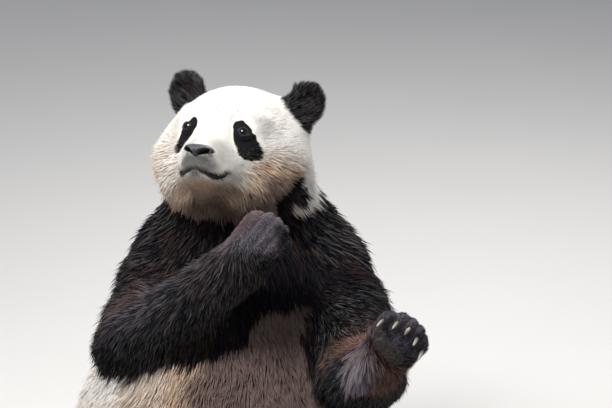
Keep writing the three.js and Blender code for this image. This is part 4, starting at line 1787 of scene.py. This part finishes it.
@dataclass
class Coat:
    """All the tufts, grown as closed three-sided spikes and gathered into pieces by region."""

    skin: Skin
    lie: Array
    markings: Markings
    bend: float = 0.34  # how far a tuft bows towards the skin, as a share of its length
    flatness: float = 0.42  # a tuft's thickness, as a share of its width
    patch: float = 0.003  # a tuft's own spread on the bake map
    sink: float = 0.0012  # how far under the skin a tuft starts
    lowest: float = 0.0004  # how near the ground a tuft may come
    rise: tuple[float, float] = (0.08, 0.82)  # the least and the most that a tuft stands up
    one_in: int = 16  # tufts share a clump's middle
    short: float = 27.0  # millimetres under which a tuft is a straight spike
    locks: float = 0.16  # share of the longer tufts that bend at two places instead of one
    guards: float = 0.13  # share of the longer tufts that stand out past the others
    random: np.random.Generator = field(default_factory=lambda: np.random.default_rng(SEED))

    def scatter(self) -> Roots:
        """Spreads roots over the skin, near-evenly and as closely as each place asks.

        Returns:
            The roots.
        """
        mesh = self.skin.obj.data
        mesh.calc_loop_triangles()
        corners = read(mesh.loop_triangles, "vertices", 3, np.int32)
        loops = read(mesh.loop_triangles, "loops", 3, np.int32)
        places = self.skin.points[corners]
        first, second = places[:, 1] - places[:, 0], places[:, 2] - places[:, 0]
        area = np.linalg.norm(np.cross(first, second), axis=1) / 2
        growth = {
            name: sum(w * getattr(GROWTHS[place], name) for place, w in self.skin.places.items())
            for name in ("length", "width", "stand", "spacing", "clump", "droop")
        }
        density = (1 - self.skin.bare) / (growth["spacing"] * MM) ** 2
        weight = area * density[corners].mean(1)
        order = np.argsort(self.curve(places.mean(1)))
        total = np.cumsum(weight[order])
        steps = np.arange(int(total[-1])) + self.random.uniform(0, 1, int(total[-1]))
        chosen = order[np.minimum(np.searchsorted(total, steps), len(corners) - 1)]
        share = self.random.dirichlet((1, 1, 1), len(chosen))
        corner, loop = corners[chosen], loops[chosen]

        def at_roots(values: Array) -> Array:
            """Values at vertices, taken to the roots."""
            shaped = share[:, :, None] if values.ndim == 2 else share
            return (values[corner] * shaped).sum(1)

        uv = read(mesh.uv_layers["OFBake"].data, "uv", 2)
        return Roots(
            points=at_roots(self.skin.points),
            normals=unit(at_roots(self.skin.normals)),
            lie=unit(at_roots(self.lie)),
            uv=(uv[loop] * share[:, :, None]).sum(1),
            parts={name: at_roots(weights) for name, weights in self.skin.parts.items()},
            growth={name: at_roots(values) for name, values in growth.items()},
            bare=at_roots(self.skin.bare),
            trim=at_roots(self.skin.trim),
        )

    @staticmethod
    def curve(points: Array) -> Array:
        """Each point's place along a curve that visits near points one after another.

        Args:
            points: places in space.

        Returns:
            A whole number for each; near points mostly have near numbers.
        """
        bits = 10
        low, span = points.min(0), np.ptp(points, axis=0).max()
        cells = ((points - low) / span * (2**bits - 1)).astype(np.int64)
        code = np.zeros(len(points), np.int64)
        for bit in range(bits):
            for axis in range(3):
                code |= ((cells[:, axis] >> bit) & 1) << (3 * bit + axis)
        return code

    def paths(self, roots: Roots) -> dict[str, Array]:
        """Where each tuft starts, heads and bends.

        Args:
            roots: the tufts' roots.

        Returns:
            Arrays "start", "head" and "curl", so that a point at share s of the tuft lies at
            start + s * head + s * s * curl, with "length", "side" and "tone".
        """
        count = len(roots.points)
        grow, uniform = roots.growth, self.random.uniform
        sway = Ripple(SEED + 8, 0.055).at(roots.points) * 0.32 + uniform(-0.16, 0.16, count)
        across = np.cross(roots.normals, roots.lie)
        lie = unit(roots.lie + across * sway[:, None])
        side = np.cross(roots.normals, lie)
        length = grow["length"] * MM * uniform(0.72, 1.18, count)
        length = length * (1 - 0.55 * ramp(0.02, 0.6, roots.bare))
        locks = self.markings.locks(roots.points, roots.parts)
        arms = [f"{name}_{hand}" for name in ("upper_arm", "forearm") for hand in SIDES]
        arm = sum(roots.parts[name] for name in arms)
        trim = np.maximum(roots.trim, self.markings.trim(roots.points, roots.parts))
        trim = np.maximum(trim, 0.55 * arm * ramp(0.2, -0.6, roots.normals[:, 2]) * (1 - locks))
        length = length * (1 + 0.7 * locks) * (1 - trim)
        guard = self.random.uniform(0, 1, count) < self.guards * ramp(24, 34, grow["length"])
        length = length * np.where(guard, 1.25, 1.0)
        height = grow["stand"] * MM * uniform(0.72, 1.1, count)
        height = height * np.where(guard, 1.55, 1.0) * (1 - 0.8 * trim)
        rise = np.clip(height / length + 0.5 * self.bend, *self.rise)
        level = np.sqrt(1 - rise**2)
        head = (lie * level[:, None] + roots.normals * rise[:, None]) * length[:, None]
        curl = roots.normals * (-0.5 * self.bend * length)[:, None]
        curl[:, 2] -= 0.5 * grow["droop"] * length
        start = roots.points - roots.normals * self.sink
        tips = start + head + curl
        limbs = 1 - roots.parts["head"] - roots.parts["neck"] - roots.parts["trunk"]
        tips = self.hug(tips, height, 0.35 + 0.5 * limbs * (1 - locks))
        curl = tips - start - head
        centres = self.random.permutation(count)[: max(1, count // self.one_in)]
        nearest = self.nearest(roots.points, centres)
        gather = tips[nearest] + (start - start[nearest]) * 0.35 - tips
        reach = np.linalg.norm(gather, axis=1, keepdims=True)
        gather = gather * np.minimum(1, 0.45 * length[:, None] / np.maximum(reach, 1e-6))
        clump = grow["clump"] + (0.95 - grow["clump"]) * locks
        curl = curl + gather * (clump * uniform(0.6, 1.15, count))[:, None]
        tone = 0.55 * uniform(-1, 1, count)[nearest] + 0.45 * uniform(-1, 1, count)
        tone = tone + 0.5 * Ripple(SEED + 9, 0.09).at(roots.points)
        return {"start": start, "head": head, "curl": curl, "length": length, "side": side, "tone": tone}

    @staticmethod
    def nearest(points: Array, centres: Array) -> Array:
        """Which of some chosen points lies nearest to each point.

        Args:
            points: all the points.
            centres: the rows of the chosen ones.

        Returns:
            A row for each point.
        """
        tree = KDTree(len(centres))
        for number, row in enumerate(centres):
            tree.insert(points[row], number)
        tree.balance()
        return centres[np.array([tree.find(point)[1] for point in points])]

    def hug(self, tips: Array, height: Array, share: Array) -> Array:
        """Draws tips that stand too far off the skin back towards it.

        Args:
            tips: the tufts' tips.
            height: how far over the skin each should be.
            share: how much of the rest is taken away.

        Returns:
            The moved tips.
        """
        tree = tree_of(self.skin.obj.data)
        moved = tips.copy()
        for row, tip in enumerate(tips):
            place, _, _, away = tree.find_nearest(tip)
            if away > height[row]:
                moved[row] += (np.array(place) - tip) * (share[row] * (1 - height[row] / away))
        return moved

    def tufts(
        self,
        name: str,
        rows: Array,
        roots: Roots,
        paths: dict[str, Array],
        marks: dict[str, Array],
        shape: TuftShape,
    ) -> Tufts:
        """Turns some roots into a mesh's arrays.

        Args:
            name: the piece's name.
            rows: which roots.
            roots: all the roots.
            paths: what paths() gave.
            marks: the markings at the roots.
            shape: where the tufts' rings lie and how wide they are.

        Returns:
            The arrays of the tufts' mesh.
        """
        count = len(rows)
        start, head, curl, side = (paths[key][rows] for key in ("start", "head", "curl", "side"))
        normal = roots.normals[rows]
        width = roots.growth["width"][rows] * MM * self.random.uniform(0.75, 1.25, count)
        points, ways, along, flat = [], [], [], []
        for share, wide in shape.stations():
            middle = start + share * head + share**2 * curl
            heading = unit(head + 2 * share * curl)
            top = unit(np.cross(heading, side))
            top = top * np.sign((top * normal).sum(1, keepdims=True))
            half = (width * wide / 2)[:, None]
            corners = ((1.0, -0.5), (-1.0, -0.5), (0.0, 1.0)) if wide else ((0.0, 0.0),)
            for across, height in corners:
                points.append(middle + side * half * across + top * half * height * self.flatness * 2)
                ways.append(unit(normal * 0.9 + side * across * 0.5 + top * (0.3 + height * 0.35)))
                along.append(np.full(count, share))
                flat.append(np.full((count, 2), (share - 0.5, across * 0.5)))
        stack = np.stack(points, 1).reshape(-1, 3)
        stack[:, 2] = np.maximum(stack[:, 2], self.lowest)
        size = len(points)
        faces = (shape.faces()[None] + (np.arange(count) * size)[:, None, None]).reshape(-1, 3)
        values = {key: np.repeat(value[rows], size) for key, value in marks.items()}
        values["tone"] = np.repeat(paths["tone"][rows], size)
        values["along"] = np.stack(along, 1).ravel()
        normals = np.stack(ways, 1).reshape(-1, 3)
        uv = roots.uv[rows][:, None] + np.stack(flat, 1) * self.patch
        return Tufts(name, stack, normals, faces, uv.reshape(-1, 2), values)

    def region(self, roots: Roots) -> Array:
        """The name of the piece that each root belongs to.

        Args:
            roots: all the roots.

        Returns:
            One name for each root.
        """
        names = list(roots.parts)
        part = np.array(names)[np.argmax([roots.parts[name] for name in names], 0)]
        q = self.skin.head.inside(roots.points)
        piece = part.astype("U24")
        side = np.where(q[:, 0] > 0, "left", "right")
        head, face = part == "head", (part == "head") & (q[:, 1] < FACE_BACK)
        piece[head] = np.char.add("crown_", side[head])
        piece[face] = np.char.add("face_", side[face])
        side = np.where(roots.points[:, 0] > TRUNK_MIDDLE, "left", "right")
        trunk = part == "trunk"
        belly = trunk & (roots.points[:, 1] < BELLY_BACK)
        piece[trunk] = np.char.add("back_", side[trunk])
        piece[belly] = np.char.add("belly_", side[belly])
        for name in SIDES:
            piece[part == f"thigh_{name}"] = f"leg_{name}"
            piece[part == f"shank_{name}"] = f"leg_{name}"
        return piece

    def grow(self, material: bpy.types.Material) -> None:
        """Builds and dresses every piece of the coat.

        Args:
            material: the tufts' material.
        """
        roots = self.scatter()
        marks = self.markings.paint(roots.points, roots.parts)
        for name, spread in (("dark", 0.10), ("stain", 0.14), ("rust", 0.12), ("frost", 0.12)):
            jitter = self.random.uniform(-spread, spread, len(roots.points))
            marks[name] = np.maximum(marks[name] + jitter * (marks[name] > 0.02), 0)
        marks["dark"] = np.minimum(marks["dark"], 1)
        marks["rust"] = np.minimum(marks["rust"], 1)
        paths = self.paths(roots)
        piece = self.region(roots)
        long = paths["length"] > self.short * MM
        locks = self.locks + self.markings.locks(roots.points, roots.parts)
        lock = self.random.uniform(0, 1, len(piece)) < locks
        kind = np.where(long, np.where(lock, 2, 1), 0)
        total = 0
        for name in sorted(set(piece)):
            batches = []
            for number, shape in enumerate(TUFT_SHAPES):
                rows = np.flatnonzero((piece == name) & (kind == number))
                if len(rows):
                    batches.append(self.tufts(f"coat_{name}", rows, roots, paths, marks, shape))
            obj = Tufts.together(batches).build()
            dress(obj, material)
            total += len(obj.data.polygons)
            LOG.info("coat_%s: %d triangles", name, len(obj.data.polygons))
        LOG.info("coat: %d tufts, %d triangles", len(piece), total)


@dataclass
class Tufts:
    """The arrays of one piece of coat."""

    name: str
    points: Array
    normals: Array
    faces: Array
    uv: Array
    values: dict[str, Array]

    @staticmethod
    def together(batches: list[Tufts]) -> Tufts:
        """One batch from several.

        Args:
            batches: batches of one piece, with the same marks.

        Returns:
            The whole piece.
        """
        starts = np.cumsum([0, *(len(b.points) for b in batches[:-1])])
        return Tufts(
            batches[0].name,
            np.concatenate([b.points for b in batches]),
            np.concatenate([b.normals for b in batches]),
            np.concatenate([b.faces + start for b, start in zip(batches, starts)]),
            np.concatenate([b.uv for b in batches]),
            {key: np.concatenate([b.values[key] for b in batches]) for key in batches[0].values},
        )

    def build(self) -> bpy.types.Object:
        """Makes the mesh object, with its bake map, marks and soft normals.

        Returns:
            The object, on no body.
        """
        mesh = bpy.data.meshes.new(self.name)
        mesh.vertices.add(len(self.points))
        mesh.vertices.foreach_set("co", self.points.astype(np.float32).ravel())
        mesh.loops.add(self.faces.size)
        mesh.loops.foreach_set("vertex_index", self.faces.astype(np.int32).ravel())
        mesh.polygons.add(len(self.faces))
        mesh.polygons.foreach_set("loop_start", np.arange(0, self.faces.size, 3, dtype=np.int32))
        mesh.update(calc_edges=True)
        mesh.shade_smooth()
        layer = mesh.uv_layers.new(name="OFBake")
        layer.data.foreach_set("uv", self.uv[self.faces.ravel()].astype(np.float32).ravel())
        obj = bpy.data.objects.new(self.name, mesh)
        bpy.context.scene.collection.objects.link(obj)
        for name, values in self.values.items():
            store(obj, name, values)
        mesh.normals_split_custom_set_from_vertices(self.normals.astype(np.float32))
        return obj


# ---- Eyes, nose and claws ----


@dataclass
class Eye:
    """One glossy eyeball with a slightly domed front."""

    side: str
    head: HeadFrame
    segments: int = 48
    dome: float = 0.9  # millimetres that the clear front stands out

    def build(self, material: bpy.types.Material) -> None:
        """Makes and dresses the eyeball.

        Args:
            material: its finish.
        """
        low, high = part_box(f"eye_{self.side}")
        middle, radius = (low + high) / 2, max(high - low) / 2
        bpy.ops.object.select_all(action="DESELECT")
        bpy.ops.mesh.primitive_uv_sphere_add(
            segments=self.segments, ring_count=self.segments // 2, radius=radius, location=middle
        )
        obj = bpy.context.object
        obj.name = obj.data.name = f"eyeball_{self.side}"
        bpy.ops.object.transform_apply(location=True, rotation=True, scale=True)
        lids = Lids(1 if self.side == "left" else -1)
        look = self.head.way_outside(lids.axes()[2][None])[0]
        ways = unit(points_of(obj) - np.array(middle))
        stand = self.dome * MM * ramp(0.62, 0.0, self.off_axis(ways, look))
        move_points(obj, points_of(obj) + ways * stand[:, None])
        apply_modifier(obj, "SUBSURF", levels=1, render_levels=1)
        store(obj, "off_axis", self.off_axis(unit(points_of(obj) - np.array(middle)), look))
        obj.data.shade_smooth()
        dress(obj, material)
        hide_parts(f"eye_{self.side}")

    @staticmethod
    def off_axis(ways: Array, look: Array) -> Array:
        """The angle between directions and the pupil's, as a share of 90 degrees."""
        return np.degrees(np.arccos(np.clip(ways @ look, -1, 1))) / 90


@dataclass
class Nose:
    """The leather of the nose: a broad bridge, two comma-shaped nostrils and a groove between them.

    Sizes are in the head's millimetres.
    """

    head: HeadFrame
    half: tuple[float, float, float] = (27.0, 17.0, 13.4)
    foot: float = 0.76  # its depth under the middle, as a share of its height over it
    narrowing: float = 0.70  # the share of its width that it loses towards the foot
    nostril: tuple[float, float] = (14.5, -1.0)
    nostril_half: tuple[float, float] = (10.6, 5.0)
    slope: float = -0.40  # how a nostril rises outwards
    deep: float = 15.0
    wing: float = 1.3  # how far the nostrils' rims stand out
    groove: float = 2.4
    lean: float = 4.0  # how far its top lies behind
    off: tuple[float, float, float] = (0.0, 1.5, 1.5)  # from the solid's middle

    def cover(self, q: Array) -> Array:
        """Where points lie against the leather's outline, seen from the front.

        Args:
            q: places in the head's millimetres.

        Returns:
            0 in its middle, 1 on its edge and more outside it.
        """
        x, _, z = (q - np.array(self.head.nose) - self.off).T
        z = z / np.where(z > 0, self.half[2], self.foot * self.half[2])
        return np.hypot(x / (self.half[0] * self.taper(z)), z)

    def taper(self, height: Array) -> Array:
        """The share of the full width at heights from 1, the top, to -1, the foot."""
        return 1 - self.narrowing * ramp(0.15, -0.95, height)

    def build(self, material: bpy.types.Material) -> None:
        """Makes and dresses the nose.

        Args:
            material: its finish.
        """
        bpy.ops.object.select_all(action="DESELECT")
        bpy.ops.mesh.primitive_uv_sphere_add(segments=96, ring_count=64, radius=1.0)
        obj = bpy.context.object
        obj.name = obj.data.name = "nose_leather"
        q, hollow = self.shape(points_of(obj)[:, [0, 2, 1]])
        move_points(obj, self.head.outside(q))
        store(obj, "hollow", hollow)
        edit_all(obj)
        bpy.ops.mesh.normals_make_consistent(inside=False)
        leave_edit()
        apply_modifier(obj, "SUBSURF", levels=1, render_levels=1)
        obj.data.shade_smooth()
        dress(obj, material)
        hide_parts("nose")

    def shape(self, ball: Array) -> tuple[Array, Array]:
        """Turns a unit ball into the nose.

        Args:
            ball: points on the ball, with -y to the front and z up.

        Returns:
            Points in the head's millimetres, and how far inside a nostril each is.
        """
        x, y, z = ball.T
        height = np.sign(z) * np.abs(z) ** np.where(z > 0, 0.7, 0.9)
        height = height * np.where(z > 0, 1.0, self.foot)
        q = np.stack([x * self.half[0] * self.taper(z), y * self.half[1], height * self.half[2]], 1)
        q[:, 1] += self.lean * ramp(0.0, 1.0, z)
        side = np.abs(q[:, 0]) - self.nostril[0]
        front = ramp(0.25, -0.35, y)
        across = side / self.nostril_half[0]
        up = (q[:, 2] - self.nostril[1] + side * self.slope) / self.nostril_half[1]
        away = np.sqrt(across**2 + up**2)
        hole = ramp(1.25, 0.55, away) * front
        wing = bump(1.5, 0.5, away) * front
        groove = bump(0.0, 2.2, q[:, 0]) * ramp(6, -4, q[:, 2]) * front
        q[:, 1] += self.deep * hole + self.groove * groove - self.wing * wing
        return q + np.array(self.head.nose) + self.off, ramp(0.15, 0.6, hole)


@dataclass
class Claws:
    """The five claws of one paw, smoothed and joined."""

    paw: str
    frame: dict[str, Any]

    def build(self, material: bpy.types.Material) -> None:
        """Makes and dresses the claws.

        Args:
            material: their finish.
        """
        nodes = [f"{self.paw}_claw_{i}" for i in range(1, 6)]
        copies = []
        for node in nodes:
            copy = copy_of(self.frame["nodes"][node], f"claw_{node}")
            apply_modifier(copy, "SUBSURF", levels=2, render_levels=2)
            store(copy, "along", self.along(points_of(copy)))
            copies.append(copy)
        obj = join(copies, f"claws_{self.paw}")
        obj.data.shade_smooth()
        dress(obj, material)
        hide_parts(*nodes)

    @staticmethod
    def along(points: Array) -> Array:
        """How far along the claw points lie.

        Args:
            points: the points of one claw.

        Returns:
            0 at its thick root to 1 at its thin tip.
        """
        middle = points.mean(0)
        _, _, axes = np.linalg.svd(points - middle, full_matrices=False)
        reach = (points - middle) @ axes[0]
        thick = np.linalg.norm((points - middle) @ axes[1:].T, axis=1)
        if thick[reach < 0].mean() <= thick[reach > 0].mean():
            reach = -reach
        return (reach - reach.min()) / np.ptp(reach)


# ---- Studio ----


@dataclass(frozen=True)
class Lamp:
    """A square soft light that faces the object. Angles are in degrees, lengths in metres."""

    name: str
    azimuth: float
    elevation: float
    away: float
    size: float
    watts: float
    tint: tuple[float, float, float]


LAMPS = (  # from above, from the animal's left and from behind
    Lamp("key", -30, 62, 2.6, 0.9, 84, (1.0, 0.98, 0.955)),
    Lamp("fill", 62, 22, 3.2, 2.4, 8, (0.93, 0.96, 1.0)),
    Lamp("rim", 160, 50, 2.8, 1.2, 50, (1.0, 0.98, 0.96)),
)


@dataclass
class Studio:
    """Camera, floor and soft lights. Shares are of the object's box, angles in degrees."""

    low: Vector
    high: Vector
    aim: tuple[float, float, float] = (0.6040, 0.660, 0.7554)
    azimuth: float = 16.0
    elevation: float = 20.0
    distance: float = 5.0
    lens: float = 158.1  # millimetres, like the sensor
    sensor: float = 36.0
    lit: tuple[float, float, float] = (0.0, 0.05, 0.5)  # what the lamps face, in metres
    sky: tuple = rgb(0.86, 0.90, 1.0)
    sky_strength: float = 0.31
    floor_level: float = -0.0005

    def back(self, azimuth: float, elevation: float) -> Vector:
        """The direction from the object towards a viewer or a lamp."""
        a, e = math.radians(azimuth), math.radians(elevation)
        return Vector((math.sin(a) * math.cos(e), -math.cos(a) * math.cos(e), math.sin(e)))

    def camera(self) -> None:
        """Sets the camera."""
        data = bpy.data.cameras.new("camera")
        data.lens, data.sensor_width = self.lens, self.sensor
        camera = bpy.data.objects.new("camera", data)
        bpy.context.scene.collection.objects.link(camera)
        aim = Vector(lo + (hi - lo) * share for lo, hi, share in zip(self.low, self.high, self.aim))
        back = self.back(self.azimuth, self.elevation)
        camera.location = aim + back * self.distance
        camera.rotation_euler = (-back).to_track_quat("-Z", "Y").to_euler()
        bpy.context.scene.camera = camera

    def floor(self) -> None:
        """A plain pale floor under the object."""
        bpy.ops.object.select_all(action="DESELECT")
        bpy.ops.mesh.primitive_plane_add(size=60.0, location=(0, 0, self.floor_level))
        floor = bpy.context.object
        floor.name = "floor"
        paint = Paint("floor")
        shade = paint.mix(paint.noise(2.0, 2.0), rgb(0.70, 0.69, 0.67), rgb(0.74, 0.73, 0.71))
        paint.set(Base_Color=shade, Roughness=0.75)
        floor.data.materials.append(paint.material)
        floor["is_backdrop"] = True

    def hang(self, lamp: Lamp) -> None:
        """Puts a lamp into the scene.

        Args:
            lamp: which lamp.
        """
        data = bpy.data.lights.new(lamp.name, "AREA")
        data.size, data.energy, data.color = lamp.size, lamp.watts, lamp.tint
        light = bpy.data.objects.new(lamp.name, data)
        bpy.context.scene.collection.objects.link(light)
        back = self.back(lamp.azimuth, lamp.elevation)
        light.location = Vector(self.lit) + back * lamp.away
        light.rotation_euler = (-back).to_track_quat("-Z", "Y").to_euler()

    def light(self) -> None:
        """Hangs the lamps and lays a pale surround."""
        for lamp in LAMPS:
            self.hang(lamp)
        world = bpy.data.worlds.new("surround")
        world.use_nodes = True
        background = world.node_tree.nodes["Background"]
        background.inputs["Color"].default_value = self.sky
        background.inputs["Strength"].default_value = self.sky_strength
        bpy.context.scene.world = world
        bpy.context.scene.view_settings.view_transform = "Standard"


def main() -> None:
    """Builds the panda round the frame and reports each piece."""
    logging.basicConfig(level=logging.INFO, format="%(name)s: %(message)s")
    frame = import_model()
    low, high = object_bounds()
    studio = Studio(low, high)
    studio.camera()
    head, paws = HeadFrame(), paw_frames()
    skin = Skin(frame, head, paws)
    skin.build()
    markings = Markings(head, paws)
    coat_finish = CoatFinish()
    skin.finish(markings.paint(skin.points, skin.parts), SkinFinish().make(coat_finish))
    LOG.info("skin: %d faces", len(skin.obj.data.polygons))
    lie = LieOfCoat(head, paws).find(skin.points, skin.normals, skin.parts, skin.pairs)
    Coat(skin, lie, markings).grow(coat_finish.make())
    eye_material = EyeFinish().make()
    for side in SIDES:
        Eye(side, head).build(eye_material)
    Nose(head).build(LeatherFinish().make())
    horn = HornFinish().make()
    for paw in paws:
        Claws(paw, frame).build(horn)
    LOG.info("eyes, nose and claws")
    studio.floor()
    studio.light()


if __name__ == "__main__":
    main()
